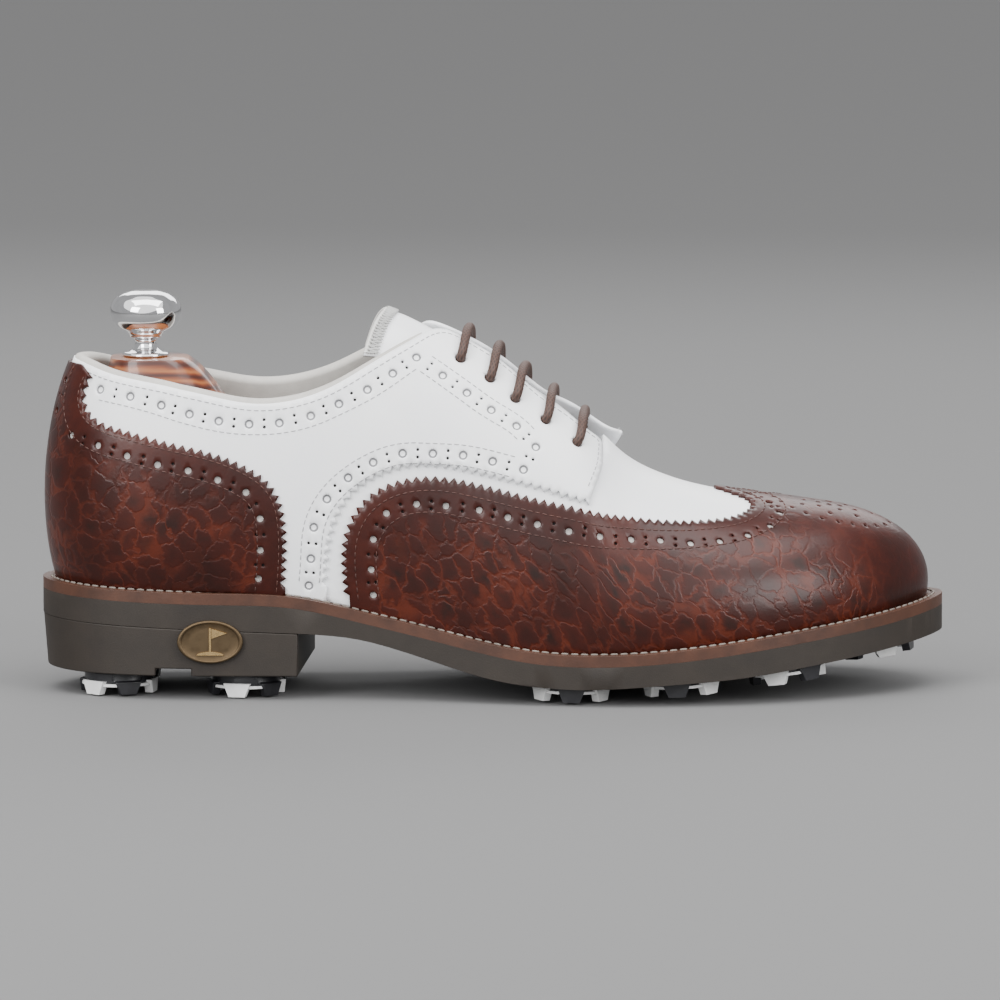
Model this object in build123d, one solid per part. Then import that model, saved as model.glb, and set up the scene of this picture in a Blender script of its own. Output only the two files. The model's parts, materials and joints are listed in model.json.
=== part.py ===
from build123d import *
import math
import os

import numpy as np

os.makedirs("parts", exist_ok=True)

# A right golf shoe on its cleats, with a cedar shoe tree inside. Millimetres.
# +X points to the toe, -Y to the outer (lateral) side, +Z up. The origin lies on the ground
# under the middle of the sole's bounding box.

# ---------------------------------------------------------------- driving dimensions
HEEL_BACK_X = -152.0          # rearmost point of the welt
TOE_TIP_X = 152.0             # foremost point of the welt
WELT_THICKNESS = 3.8
WELT_WIDTH = 11.0
HEEL_BOTTOM_Z = 7.6
HEEL_TAPER = 1.5              # how far the heel block draws in at the back towards the ground
BREAST_X_LATERAL = -67.0      # front wall of the heel block
BREAST_X_MEDIAL = -59.0
HEEL_NOTCH_X = -107.0         # middle of the groove across the bottom of the heel
HEEL_NOTCH_WIDTH = 12.0
HEEL_NOTCH_DEPTH = 2.5
HEEL_SEAT = [(-160, 25.6), (-72, 22.3), (-58.5, 21.7)]     # (x, z) where the heel meets the outsole
HEEL_NAILS = [(-140, 0), (-105, -28), (-105, 25), (-72, -27), (-72, 23)]
HEEL_NAIL_LENGTH = 9.0
HEEL_NAIL_BOTTOM_Z = 19.5
HEEL_BLANK_TOP_Z = 27.0       # top of the heel before it is cut to the outsole
LEATHER = 1.3                 # quarters, wing cap and counter cover
BASE_INNER = -1.45            # vamp: from this depth to just under the quarters
BASE_OUTER = -0.05
LINING_INNER = -3.7
LINING_OUTER = -2.5
SEAM_GAP = 0.1                # clearance between stacked sheets and over the welt
OVERLAY_INNER = LEATHER + 0.05
OVERLAY_OUTER = LEATHER + 1.2

LACE_DIAMETER = 3.2
LACE_HOLE_DIAMETER = 5.0
LACE_TAIL_OUT = {1: 4.6, -1: 2.2}     # from a row of eyelets outwards to the lace's tails
LACE_UNDER_DEPTH = -2.1       # lace centre line below the facings
LACE_OVER_DEPTH = 4.2         # lace centre line above the facings

CLEAT_LEG = 4.92
CLEAT_RADIUS = 12.9
HEEL_CLEAT_SPACER = 2.68
STUD_RADIUS = 3.5
STUD_CLEARANCE = 0.05
RECEPTACLE_RADIUS = 7.0
RECEPTACLE_HEIGHT = 5.2

TREE_AXIS_Z = 52.0
TREE_PIVOT_X = 18.0
TREE_TUBE_RADIUS = 8.0
TREE_BORE_RADIUS = 6.5
TREE_TOP_Z = 111.5
KNOB_X = -117.0
TREE_HEEL_Y = -1.2

# The sole's edge seen from above, lateral side first, from the heel round the toe and back.
SOLE_EDGE = [
    (HEEL_BACK_X, 0), (-147.8, -15), (-135.5, -27.5), (-115, -34.5), (-85, -36.5), (-50, -37.3),
    (-15, -42.5), (18, -50.2), (46, -53), (76, -50.4), (104, -41.5), (128, -27.5), (145, -9.5),
    (TOE_TIP_X, 8), (147.5, 24), (134, 37.5), (114, 46.5), (88, 51.8), (58, 53), (28, 49.4),
    (-6, 39.6), (-42, 32), (-78, 31.5), (-109, 33), (-132.5, 27.5), (-147.3, 14.5),
]
# Heights along the shoe, as (x, z).
WELT_TOP_PROFILE = [
    (-155, 37.5), (-122, 36.1), (-90, 35.4), (-66, 34.2), (-45, 29.8), (-24, 25), (-3, 20.2),
    (12, 17.6), (30, 16.6), (50, 17.3), (82, 20.6), (106, 23.8), (129, 26.9), (156, 31.2),
]
SOLE_BOTTOM_PROFILE = [
    (-156, 25.4), (-120, 24.07), (-90, 22.96), (-72, 22.3), (-58.5, 21.7), (-46, 20.4), (-31, 16.7), (-17, 12.4),
    (-3, 8.4), (12.5, 6.0), (28, 5.2), (45, 5.9), (59, 6.9), (75, 8.0), (90, 9.5), (105.6, 11.6),
    (121, 13.7), (135, 15.7), (156, 18.9),
]
# Crest of the upper, extended backwards over the ankle opening.
CREST_PROFILE = [
    (-110, 139), (-80, 138.5), (-60, 136.8), (-37, 132.4), (-25, 127.3), (-17, 123.2), (-10, 119.8),
    (-3, 116), (7, 109.6), (17, 102.8), (24, 98), (30, 93), (35, 87.6), (38, 84), (44, 78.2),
    (51, 73.8), (57.5, 71), (64, 68.8), (75, 66.2), (84.5, 64.4), (98, 62.6), (105, 61.6), (116, 60),
]
CREST_SIDEWAYS = [(-115, 0), (-20, 0.5), (40, 1.5), (120, 5.5)]
FEATHER_MARGIN = [(-152, 6.8), (-110, 5.5), (-60, 4.4), (-10, 4.8), (50, 6.0), (110, 6.4), (152, 6.6)]
# How each cross-section bulges at its foot, rises before turning in, and how flat its crown is.
SECTION_BULGE = [(-148, .27), (-120, .26), (-80, .18), (-44, .12), (-10, .08), (38, .10), (148, .12)]
SECTION_RISE = [(-148, .35), (-80, .33), (-44, .38), (-10, .42), (38, .50), (75, .55), (148, .57)]
SECTION_CROWN = [(-148, .97), (-80, .82), (-44, .90), (-10, .95), (15, .90), (45, .72), (148, .62)]

HEEL_POLE_X = -105.0          # the cross-sections fan out round these two points
TOE_POLE_X = 112.0
HEEL_FAN = 57.0               # station lengths of the fans
TOE_FAN = 62.0
MIDDLE = TOE_POLE_X - HEEL_POLE_X
TOE_STATION = HEEL_FAN + MIDDLE + TOE_FAN


# ---------------------------------------------------------------- smooth curves
def smooth(points):
    """Natural cubic spline through the points, as a function of their first coordinate."""
    x, y = np.array(points, float).T
    step = np.diff(x)
    matrix = np.eye(len(x))
    right = np.zeros(len(x))
    for i in range(1, len(x) - 1):
        matrix[i, i - 1:i + 2] = step[i - 1], 2 * (step[i - 1] + step[i]), step[i]
        right[i] = 6 * ((y[i + 1] - y[i]) / step[i] - (y[i] - y[i - 1]) / step[i - 1])
    bend = np.linalg.solve(matrix, right)

    def value(at):
        at = np.clip(np.asarray(at, float), x[0], x[-1])
        i = np.clip(np.searchsorted(x, at) - 1, 0, len(x) - 2)
        a = x[i + 1] - at
        b = at - x[i]
        h = step[i]
        curve = (bend[i] * a**3 + bend[i + 1] * b**3) / (6 * h)
        return curve + (y[i] / h - bend[i] * h / 6) * a + (y[i + 1] / h - bend[i + 1] * h / 6) * b

    return value


def closed_curve(points, count):
    """Evenly spaced points on a smooth closed curve through the given ones."""
    ring = np.array(points[-4:] + points + points[:5], float)
    along = np.concatenate([[0], np.cumsum(np.linalg.norm(np.diff(ring, axis=0), axis=1))])
    at = np.linspace(along[4], along[4 + len(points)], count, endpoint=False)
    return np.column_stack([smooth(np.column_stack([along, ring[:, k]]))(at) for k in (0, 1)])


def inward(ring, margin):
    """The ring of plan points moved towards the inside by a margin for each point."""
    ahead = np.roll(ring, -1, axis=0) - np.roll(ring, 1, axis=0)
    ahead /= np.linalg.norm(ahead, axis=1)[:, None]
    return ring + np.column_stack([-ahead[:, 1], ahead[:, 0]]) * np.reshape(margin, (-1, 1))


welt_top = smooth(WELT_TOP_PROFILE)
sole_bottom = smooth(SOLE_BOTTOM_PROFILE)
crest_z = smooth(CREST_PROFILE)
crest_y = smooth(CREST_SIDEWAYS)
bulge = smooth(SECTION_BULGE)
rise = smooth(SECTION_RISE)
crown = smooth(SECTION_CROWN)
SOLE_RING = closed_curve(SOLE_EDGE, 2400)
FEATHER_RING = inward(SOLE_RING, smooth(FEATHER_MARGIN)(SOLE_RING[:, 0]))


def half_outline(side):
    """The feather line of one side as y over x between the poles; side is +1 on the lateral side."""
    half = FEATHER_RING[(FEATHER_RING[:, 1] < 0) == (side > 0)]
    half = half[np.argsort(half[:, 0])]
    return lambda x: np.interp(x, half[:, 0], half[:, 1])


LATERAL_FOOT = half_outline(1)
MEDIAL_FOOT = half_outline(-1)


def fan_reach(pole_x, angle):
    """Distance from a pole to the feather line in the plan direction of each angle."""
    rel = FEATHER_RING - [pole_x, crest_y(pole_x)]
    around = np.unwrap(np.arctan2(rel[:, 1], rel[:, 0]))
    reach = np.linalg.norm(rel, axis=1)
    around = np.concatenate([around - 2 * np.pi, around, around + 2 * np.pi])
    return np.interp(angle, around, np.tile(reach, 3))


# ---------------------------------------------------------------- the upper's surface
# A station runs round the feather line: 0 at the heel's back, positive on the lateral side, and
# TOE_STATION at the toe tip. Each station has a cross-section that climbs from the feather line
# (level 1) to the crest (level 0).
def spoke(station):
    """Crest point, plan direction, reach and foot x of the cross-section at each station."""
    station = (np.asarray(station, float) + TOE_STATION) % (2 * TOE_STATION) - TOE_STATION
    side = np.where(station >= 0, 1.0, -1.0)
    run = np.abs(station)
    heel_turn = np.clip(run / HEEL_FAN, 0, 1) * np.pi / 2
    toe_turn = np.clip((run - HEEL_FAN - MIDDLE) / TOE_FAN, 0, 1) * np.pi / 2
    crest_x = HEEL_POLE_X + np.clip(run - HEEL_FAN, 0, MIDDLE)
    dir_x = np.where(run < HEEL_FAN, -np.cos(heel_turn), np.sin(toe_turn))
    dir_y = -side * np.where(run < HEEL_FAN, np.sin(heel_turn), np.cos(toe_turn))
    foot_y = np.where(side > 0, LATERAL_FOOT(crest_x), MEDIAL_FOOT(crest_x))
    angle = np.arctan2(dir_y, dir_x)
    reach = np.abs(foot_y - crest_y(crest_x))
    reach = np.where(run < HEEL_FAN, fan_reach(HEEL_POLE_X, angle), reach)
    reach = np.where(run > HEEL_FAN + MIDDLE, fan_reach(TOE_POLE_X, angle), reach)
    return crest_x, dir_x, dir_y, reach


def base_surface(station, level):
    """Points of the reference surface: the outer face of the vamp, on which the quarters lie."""
    crest_x, dir_x, dir_y, reach = spoke(station)
    foot_x = crest_x + dir_x * reach
    foot_z = welt_top(foot_x)
    top_z = crest_z(crest_x)
    slope = (crest_z(crest_x + 0.5) - crest_z(crest_x - 0.5)) * dir_x * np.where(dir_x > 0, 1, 0)
    climb = 1 - np.asarray(level, float)
    w0, w1, w2, w3 = (1 - climb)**3, 3 * (1 - climb)**2 * climb, 3 * (1 - climb) * climb**2, climb**3
    handle = crown(foot_x)
    out = w0 + w1 * (1 + bulge(foot_x)) + w2 * handle
    height = (top_z - foot_z) * (w1 * rise(foot_x) + w2 + w3) + w2 * slope * handle * reach
    x = crest_x + dir_x * reach * out
    y = crest_y(crest_x) + dir_y * reach * out
    return np.stack([x, y, foot_z + height], axis=-1)


def surface(station, level, depth):
    """Points at a depth outside (+) or inside (-) the reference surface."""
    safe = np.maximum(level, 0.03)
    along = base_surface(station + 0.4, safe) - base_surface(station - 0.4, safe)
    down = base_surface(station, safe + 0.004) - base_surface(station, safe - 0.004)
    normal = np.cross(down, along)
    normal /= np.linalg.norm(normal, axis=-1)[..., None]
    return base_surface(station, level) + normal * np.asarray(depth, float)[..., None]


def spoke_length(station):
    """Length along the cross-section from foot to crest."""
    levels = np.linspace(0, 1, 25)[:, None]
    path = base_surface(np.broadcast_to(station, (25, len(station))), levels + 0 * station)
    return np.linalg.norm(np.diff(path, axis=0), axis=-1).sum(axis=0)


def solve_level(station, target, measure):
    """The level at which a measure that grows towards the foot reaches the target."""
    low = np.zeros_like(station)
    high = np.full_like(station, 1.08)
    for _ in range(26):
        mid = (low + high) / 2
        over = measure(station, mid) > target
        high = np.where(over, mid, high)
        low = np.where(over, low, mid)
    return (low + high) / 2


def at_height(station, z, depth=0.0):
    """Level at which the surface has the height z."""
    station = np.asarray(station, float)
    depth = np.zeros_like(station) + depth
    return solve_level(station, -np.asarray(z, float), lambda s, v: -surface(s, v, depth)[..., 2])


def beside_crest(station, distance):
    """Level at which the surface lies a plan distance to the side of the crest."""
    station = np.asarray(station, float)
    mid_y = crest_y(spoke(station)[0])
    return solve_level(station, distance, lambda s, v: np.abs(base_surface(s, v)[..., 1] - mid_y))


def station_of(x, side=1):
    """Station of the cross-section at x, between the poles."""
    return side * (HEEL_FAN + np.asarray(x, float) - HEEL_POLE_X)


def foot_level(station, depth):
    """Level at which a sheet at this depth ends, just over the welt."""
    def sink(s, v):
        point = surface(s, v, depth)
        return welt_top(point[..., 0]) + SEAM_GAP - point[..., 2]
    return solve_level(station, 0.0, sink)


def resample(points, count):
    """Points spread evenly along a smooth open curve through the given pairs."""
    points = np.array(points, float)
    along = np.concatenate([[0], np.cumsum(np.linalg.norm(np.diff(points, axis=0), axis=1))])
    at = np.linspace(0, along[-1], count)
    return np.column_stack([smooth(np.column_stack([along, points[:, k]]))(at) for k in (0, 1)])


# ---------------------------------------------------------------- solids from point grids
def boundary(face, start, end):
    """The edge of a four-sided face between two of its corners."""
    def miss(edge):
        a, b = edge @ 0, edge @ 1
        return min((a - start).length + (b - end).length, (a - end).length + (b - start).length)
    return min(face.edges(), key=miss)


def skin(grid, finest):
    """Smooth face through a grid of points, at the finest tolerance that stays near them."""
    points = [[Vector(*p) for p in row] for row in grid]
    low, high = grid.min(axis=(0, 1)), grid.max(axis=(0, 1))
    for tolerance in (finest, 1.5 * finest, 2.5 * finest, 4 * finest):
        face = Face.make_surface_from_array_of_points(points, tol=tolerance, min_deg=3, max_deg=3)
        box = face.bounding_box()
        near = np.abs(np.array([*box.min, *box.max]) - [*low, *high]).max()
        if near < 1.0:
            return face
    raise ValueError("no smooth face near these points")


def sheet_solid(outer, inner, finest):
    """Closed solid between two grids of points with the same rows and columns."""
    skins = [skin(outer, finest), skin(inner, finest)]
    corners = [(0, 0), (0, -1), (-1, -1), (-1, 0)]
    walls = []
    for a, b in zip(corners, corners[1:] + corners[:1]):
        edges = [boundary(skin, Vector(*grid[a]), Vector(*grid[b]))
                 for skin, grid in zip(skins, (outer, inner))]
        walls.append(Face.make_surface_from_curves(*edges))
    solid = Solid(Shell(skins + walls))
    if solid.volume < 0:
        solid = Solid(solid.wrapped.Reversed())
    return solid


def patch(lower, upper, inner_depth, outer_depth, chart, rows=13, finest=0.02):
    """Sheet between two curves of a chart. The chart turns its points into station and level."""
    share = np.linspace(0, 1, rows)[None, :, None]
    plan = lower[:, None, :] * (1 - share) + upper[:, None, :] * share
    station, level = chart(plan)
    grids = []
    for depth in (outer_depth, inner_depth):
        depth = np.zeros_like(station) + depth
        excess = np.maximum(level[:, :1] - foot_level(station[:, :1], depth[:, :1]), 0)
        grids.append(surface(station, level - excess * (1 - share[..., 0]), depth))
    return sheet_solid(*grids, finest)


def wall_chart(plan):
    """Chart of the sides and heel: (station, 100 x level)."""
    return plan[..., 0], plan[..., 1] / 100


LENGTH_STATIONS = np.linspace(-TOE_STATION, TOE_STATION, 700)
LENGTH_TABLE = spoke_length(LENGTH_STATIONS)


def dome_chart(plan):
    """Chart of the vamp and toe, laid flat: x along the crest, y across it, both in mm."""
    x, y = plan[..., 0], plan[..., 1]
    past = np.maximum(x - TOE_POLE_X, 0)
    side = np.where(y <= 0, 1.0, -1.0)
    turn = np.arctan2(past, np.abs(y) + 1e-9)
    run = HEEL_FAN + np.minimum(x, TOE_POLE_X) - HEEL_POLE_X + turn / (np.pi / 2) * TOE_FAN
    station = side * np.minimum(run, TOE_STATION)
    length = np.interp(station, LENGTH_STATIONS, LENGTH_TABLE)
    return station, np.hypot(past, y) / length


def dome_foot(count, x_lateral, x_medial):
    """Dome chart points along the feather line, from one side round the toe to the other."""
    first = station_of(x_lateral)
    last = 2 * TOE_STATION - station_of(x_medial)
    run = np.linspace(first, last, count)
    wrapped = np.where(run > TOE_STATION, run - 2 * TOE_STATION, run)
    length = np.interp(wrapped, LENGTH_STATIONS, LENGTH_TABLE) * 1.05
    crest_x, dir_x, dir_y, _ = spoke(wrapped)
    return np.column_stack([crest_x + dir_x * length, dir_y * length])


# ---------------------------------------------------------------- sole unit
def plan_face(margin, count=90):
    """Flat face inside the sole's edge by a margin."""
    ring = closed_curve(SOLE_EDGE, count)
    ring = inward(ring, np.full(count, margin)) if margin else ring
    return make_face(Spline(*[tuple(p) for p in ring], periodic=True))


def profile_edge(height, x0, x1, lift, count=45):
    """Spline of a height profile in the XZ plane."""
    xs = np.linspace(x0, x1, count)
    return Spline(*[(x, 0, float(height(x)) + lift) for x in xs])


def band(low, low_lift, high, high_lift, x0=-158.0, x1=158.0, half_width=60.0):
    """Solid between two height profiles, straight across the shoe."""
    floor = profile_edge(low, x0, x1, low_lift)
    roof = profile_edge(high, x0, x1, high_lift)
    sides = [Line(floor @ 0, roof @ 0), Line(floor @ 1, roof @ 1)]
    face = make_face([floor, roof] + sides)
    return extrude(face, amount=half_width, dir=(0, 1, 0), both=True)


def column(face, z0=-5.0, z1=60.0):
    """Upright solid on a plan face."""
    return extrude(face.moved(Location((0, 0, z0))), amount=z1 - z0, dir=(0, 0, 1))


def along_normal(x, y):
    """Location on the sole's bottom at x, y, with its Z axis pointing up through the sole."""
    slope = float(sole_bottom(x + 0.5) - sole_bottom(x - 0.5))
    tilt = -math.degrees(math.atan(slope))
    return Location((x, y, float(sole_bottom(x))), (0, tilt, 0))


FORE_CLEATS = {
    "fore_lateral_1": (26, -35), "fore_lateral_2": (63, -35.5), "fore_lateral_3": (98, -27.5),
    "toe": (129, 5), "fore_medial_3": (103, 30), "fore_medial_2": (70, 36), "fore_medial_1": (34, 33.5),
}
HEEL_CLEATS = {
    "heel_lateral_rear": (-126, -15.5), "heel_lateral_front": (-83, -20),
    "heel_medial_front": (-83, 17), "heel_medial_rear": (-126, 14.5),
}
# Turn of each cleat about its axis: the direction of its first pale leg, degrees from -Y.
CLEAT_TURN = {
    "heel_lateral_rear": -42, "heel_lateral_front": -14, "fore_lateral_1": 60, "fore_lateral_2": 50,
    "fore_lateral_3": -20, "toe": 15, "fore_medial_3": 30, "fore_medial_2": 5, "fore_medial_1": -35,
    "heel_medial_front": 25, "heel_medial_rear": -5,
}


def cleat_location(name):
    """Place of a cleat: Z up along its axis, origin on the face of the sole it sits on."""
    if name in FORE_CLEATS:
        return along_normal(*FORE_CLEATS[name])
    x, y = HEEL_CLEATS[name]
    return Location((x, y, HEEL_BOTTOM_Z))


CLEAT_NAMES = list(FORE_CLEATS) + list(HEEL_CLEATS)


def receptacle_space(name):
    """Round pocket for a cleat's threaded insert."""
    pocket = Cylinder(RECEPTACLE_RADIUS, RECEPTACLE_HEIGHT + 1, align=(Align.CENTER, Align.CENTER, Align.MIN))
    return cleat_location(name) * pocket.moved(Location((0, 0, -1)))


def make_outsole():
    body = column(plan_face(0)) & band(sole_bottom, 0, welt_top, -WELT_THICKNESS)
    for name in FORE_CLEATS:
        body -= receptacle_space(name)
    return body


def make_welt():
    ring = column(plan_face(0)) - column(plan_face(WELT_WIDTH))
    return ring & band(welt_top, -WELT_THICKNESS, welt_top, 0)


def make_insole_board():
    return column(plan_face(WELT_WIDTH + 0.1)) & band(welt_top, -1.5, welt_top, 0.7)


def make_cork_filler():
    slab = column(plan_face(WELT_WIDTH + 0.1)) & band(welt_top, -WELT_THICKNESS, welt_top, -1.6)
    slot = Box(112, 14.2, 60).moved(Location((-41, 0, 30)))
    return slab - slot


def make_shank():
    return band(welt_top, -3.4, welt_top, -2.0, -96, 14, 7.0)


def make_sock_liner():
    return column(plan_face(WELT_WIDTH + 0.6)) & band(welt_top, 0.8, welt_top, 2.2)


def make_heel_block():
    """Heel from the outsole down, drawn in at the back, with its slanted breast and a grip notch."""
    ring = closed_curve(SOLE_EDGE, 48)
    rear = np.clip((-110 - ring[:, 0]) / 35, 0, 1)
    low = ring + np.column_stack([HEEL_TAPER * rear, np.zeros(len(ring))])
    faces = []
    for outline, z in ((low, HEEL_BOTTOM_Z), (ring, HEEL_BLANK_TOP_Z)):
        wire = Spline(*[(p[0], p[1], z) for p in outline], periodic=True)
        faces.append(make_face(wire))
    body = loft(faces, ruled=True)
    front = make_face(Polyline((BREAST_X_LATERAL, -60), (BREAST_X_MEDIAL, 60), (-170, 60), (-170, -60), close=True))
    body &= column(front)
    seat = [(x, 0, z - SEAM_GAP) for x, z in HEEL_SEAT]
    above = make_face(Polyline(*seat, (-50, 0, 60), (HEEL_SEAT[0][0], 0, 60), close=True))
    body -= extrude(above, amount=60, dir=(0, 1, 0), both=True)
    notch = Box(HEEL_NOTCH_WIDTH, 120, 2 * HEEL_NOTCH_DEPTH).moved(Location((HEEL_NOTCH_X, 0, HEEL_BOTTOM_Z)))
    body -= notch
    for name in HEEL_CLEATS:
        body -= receptacle_space(name)
    return body


def make_receptacles():
    cups = []
    for name in CLEAT_NAMES:
        cup = Cylinder(RECEPTACLE_RADIUS, RECEPTACLE_HEIGHT, align=(Align.CENTER, Align.CENTER, Align.MIN))
        socket = Cylinder(STUD_RADIUS + STUD_CLEARANCE, RECEPTACLE_HEIGHT - 0.8,
                          align=(Align.CENTER, Align.CENTER, Align.MIN))
        cups.append(cleat_location(name) * (cup - socket))
    return Compound(cups)


def make_heel_nails():
    nails = []
    for x, y in HEEL_NAILS:
        nail = Cylinder(1.0, HEEL_NAIL_LENGTH, align=(Align.CENTER, Align.CENTER, Align.MIN))
        nails.append(nail.moved(Location((x, y, HEEL_NAIL_BOTTOM_Z))))
    return Compound(nails)


BADGE_X = -94.6
BADGE_Z = 19.4
BADGE_SIZE = (22.0, 14.4)


def make_badge():
    """Oval plate with a raised rim, flat on the heel's outer wall, on two short pins."""
    wall_y = min(p[1] for p in SOLE_RING if abs(p[0] - BADGE_X) < BADGE_SIZE[0] / 2)
    half_x, half_z = BADGE_SIZE[0] / 2, BADGE_SIZE[1] / 2
    place = Location((BADGE_X, wall_y - 0.15, BADGE_Z), (90, 0, 0))
    plate = extrude(Ellipse(half_x, half_z), amount=0.9)
    rim = extrude(Ellipse(half_x, half_z) - Ellipse(half_x - 1.1, half_z - 1.1), amount=1.5)
    return place * (plate + rim)


# ---------------------------------------------------------------- cleats
def leg(width_top, width_tip):
    """One leg at -Y: a trapezoid that hangs from the cleat's rim and leans outwards."""
    z_top, z_tip = -0.4, -CLEAT_LEG
    face = make_face(Polyline((-width_top / 2, 0, z_top), (width_top / 2, 0, z_top),
                              (width_tip / 2, 0, z_tip), (-width_tip / 2, 0, z_tip), close=True))
    solid = extrude(face, amount=2.7, dir=(0, -1, 0))
    return solid.moved(Location((0, -(CLEAT_RADIUS - 3.1), 0)))


def make_cleat(name):
    """The dark core with its stud and three legs, and the pale overmould with three more."""
    spacer = HEEL_CLEAT_SPACER if name in HEEL_CLEATS else 0.0
    gap = 0.3
    top = -gap
    under = -spacer - gap
    base = Cylinder(CLEAT_RADIUS - 1.4, spacer + 0.9, align=(Align.CENTER, Align.CENTER, Align.MAX))
    core = base.moved(Location((0, 0, top)))
    stud = Cylinder(STUD_RADIUS, 4.2, align=(Align.CENTER, Align.CENTER, Align.MIN))
    core += stud.moved(Location((0, 0, top - 0.1)))
    hub = Cylinder(5.2, 1.9, align=(Align.CENTER, Align.CENTER, Align.MAX))
    core += hub.moved(Location((0, 0, under - 0.7)))
    ring = Cylinder(CLEAT_RADIUS - 0.5, 0.9) - Cylinder(6.0, 2)
    pale = ring.moved(Location((0, 0, under - 0.9 - 0.5)))
    reach = -spacer
    dark_legs = []
    for k in range(3):
        turn = CLEAT_TURN[name] + 120 * k
        pale += leg(9.2, 5.6).moved(Location((0, 0, reach), (0, 0, turn)))
        dark_legs.append(leg(9.2, 5.6).moved(Location((0, 0, reach), (0, 0, turn + 60))))
    for dark in dark_legs:
        core += dark
    pale -= core
    place = cleat_location(name)
    return place * core, place * pale


# ---------------------------------------------------------------- upper
COLLAR_LATERAL = [  # (x, z) of the top edge, from the heel to the facing
    (-123, 106.1), (-111.5, 103.4), (-96.3, 100.6), (-79.5, 98.3), (-65.3, 99.8), (-52.5, 104.6),
    (-44.4, 109.2), (-34, 115.2), (-26, 119.3), (-20.5, 121.2),
]
COLLAR_BACK = [(0, 111.4), (16, 110.9), (28, 109.2)]   # (station, z) over the heel's back
MEDIAL_RAISE = 2.0
FACING_TOP_X = -15.5
FACING_FRONT_X = {1: 34.5, -1: 39.0}
FACING_GAP = [(-20, 10.3), (-8, 11.6), (0, 13), (9, 16.5), (17, 19.2), (26, 20.3), (40, 20.6)]  # (x, from the crest)
facing_gap = smooth(FACING_GAP)


def collar_points(side):
    """Top edge of one side as (station, 100 x level), from the heel's back forwards."""
    lift = MEDIAL_RAISE if side < 0 else 0.0
    raised = [(station_of(x, side), z + lift * math.sin(math.pi * (x + 135) / 110)) for x, z in COLLAR_LATERAL]
    points = [(side * s, z) for s, z in COLLAR_BACK] + raised
    station, z = np.array(points, float).T
    return np.column_stack([station, 100 * at_height(station, z)])


def facing_points(side):
    """Edge of one facing as (station, 100 x level), from its top corner down to its front."""
    x = np.linspace(FACING_TOP_X, FACING_FRONT_X[side], 9)
    station = station_of(x, side)
    return np.column_stack([station, 100 * beside_crest(station, facing_gap(x))])


QUARTER_FRONT = [  # (x, z) of the lower front edge, from the welt up and forwards to the facing's front
    (-55.4, 42), (-54.6, 49), (-53, 56.5), (-49.8, 64), (-44.3, 70.4), (-37.2, 74.6), (-30, 77), (-22.5, 77.8),
    (-13.5, 77), (-3.2, 74.9), (7, 72.5), (17.5, 69.8), (27, 66.8), (30.8, 65.8),
]


def quarter_front(side):
    """Lower front edge of a quarter as (station, 100 x level)."""
    x, z = np.array(QUARTER_FRONT, float).T
    station = station_of(x, side)
    return np.column_stack([station, 100 * at_height(station, z)])


def make_quarter(side):
    """White side panel, from the heel seam to the facing, lapped over the vamp."""
    heel = np.array([(side * s, 103.0) for s in (0.4, 18, 36, 54, 72, 90)] + [(station_of(-57.5, side), 103.0)])
    lower = resample(np.vstack([heel, quarter_front(side)]), 64)
    collar = collar_points(side)
    collar[0, 0] = side * 0.4
    upper = resample(np.vstack([collar, facing_points(side)]), 64)
    panel = patch(lower, upper, 0.0, LEATHER, wall_chart, 17)
    for hole in lace_holes(side):
        panel -= hole
    return panel


EYELET_X = {1: (27.2, 17.0, 6.9, -1.5, -11.3), -1: (29.3, 19.6, 10.6, 1.6, -8.2)}
EYELET_SPAN = (29.5, 28.0, 26.2, 23.6, 20.9)     # plan distance of each row from the crest


def eyelet(side, row, depth):
    """Point on the axis of an eyelet at a depth, as a numpy array."""
    station = station_of(EYELET_X[side][row], side)
    level = beside_crest(np.array([station]), EYELET_SPAN[row])
    return surface(np.array([station]), level, np.array([depth]))[0]


def lace_holes(side):
    """Cutters for the five lace holes of one facing."""
    holes = []
    for row in range(5):
        low, high = eyelet(side, row, -2.5), eyelet(side, row, 4.0)
        axis = Vector(*(high - low))
        plane = Plane(origin=Vector(*low), z_dir=axis)
        holes.append(plane * Cylinder(LACE_HOLE_DIAMETER / 2, axis.length, align=(Align.CENTER, Align.CENTER, Align.MIN)))
    return holes


def bar_point(row, side):
    """Point of a lace bar where it leaves a facing's edge."""
    middle = (EYELET_X[1][row] + EYELET_X[-1][row]) / 2
    distance = float(facing_gap(middle)) - 1.0
    x = middle + (EYELET_X[side][row] - middle) * distance / EYELET_SPAN[row]
    station = np.array([station_of(x, side)])
    return surface(station, beside_crest(station, distance), np.array([LACE_OVER_DEPTH]))[0]


def lace_route():
    """Route of the lace: a tail under the lateral facing, five straight bars, and the other tail."""
    points = []

    def tail(side, rows):
        for row in rows:
            station = np.array([station_of(EYELET_X[side][row] - 4.0, side)])
            level = beside_crest(station, EYELET_SPAN[row] + LACE_TAIL_OUT[side])
            points.append(surface(station, level, np.array([LACE_UNDER_DEPTH]))[0])

    tail(1, (4, 2, 0))
    side = 1
    for row in range(5):
        points.append(eyelet(side, row, LACE_UNDER_DEPTH))
        points.append(eyelet(side, row, LACE_OVER_DEPTH))
        points.append(bar_point(row, side))
        points.append(bar_point(row, -side))
        points.append(eyelet(-side, row, LACE_OVER_DEPTH))
        points.append(eyelet(-side, row, LACE_UNDER_DEPTH))
        side = -side
    tail(-1, (4, 2, 0))
    return points


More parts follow.
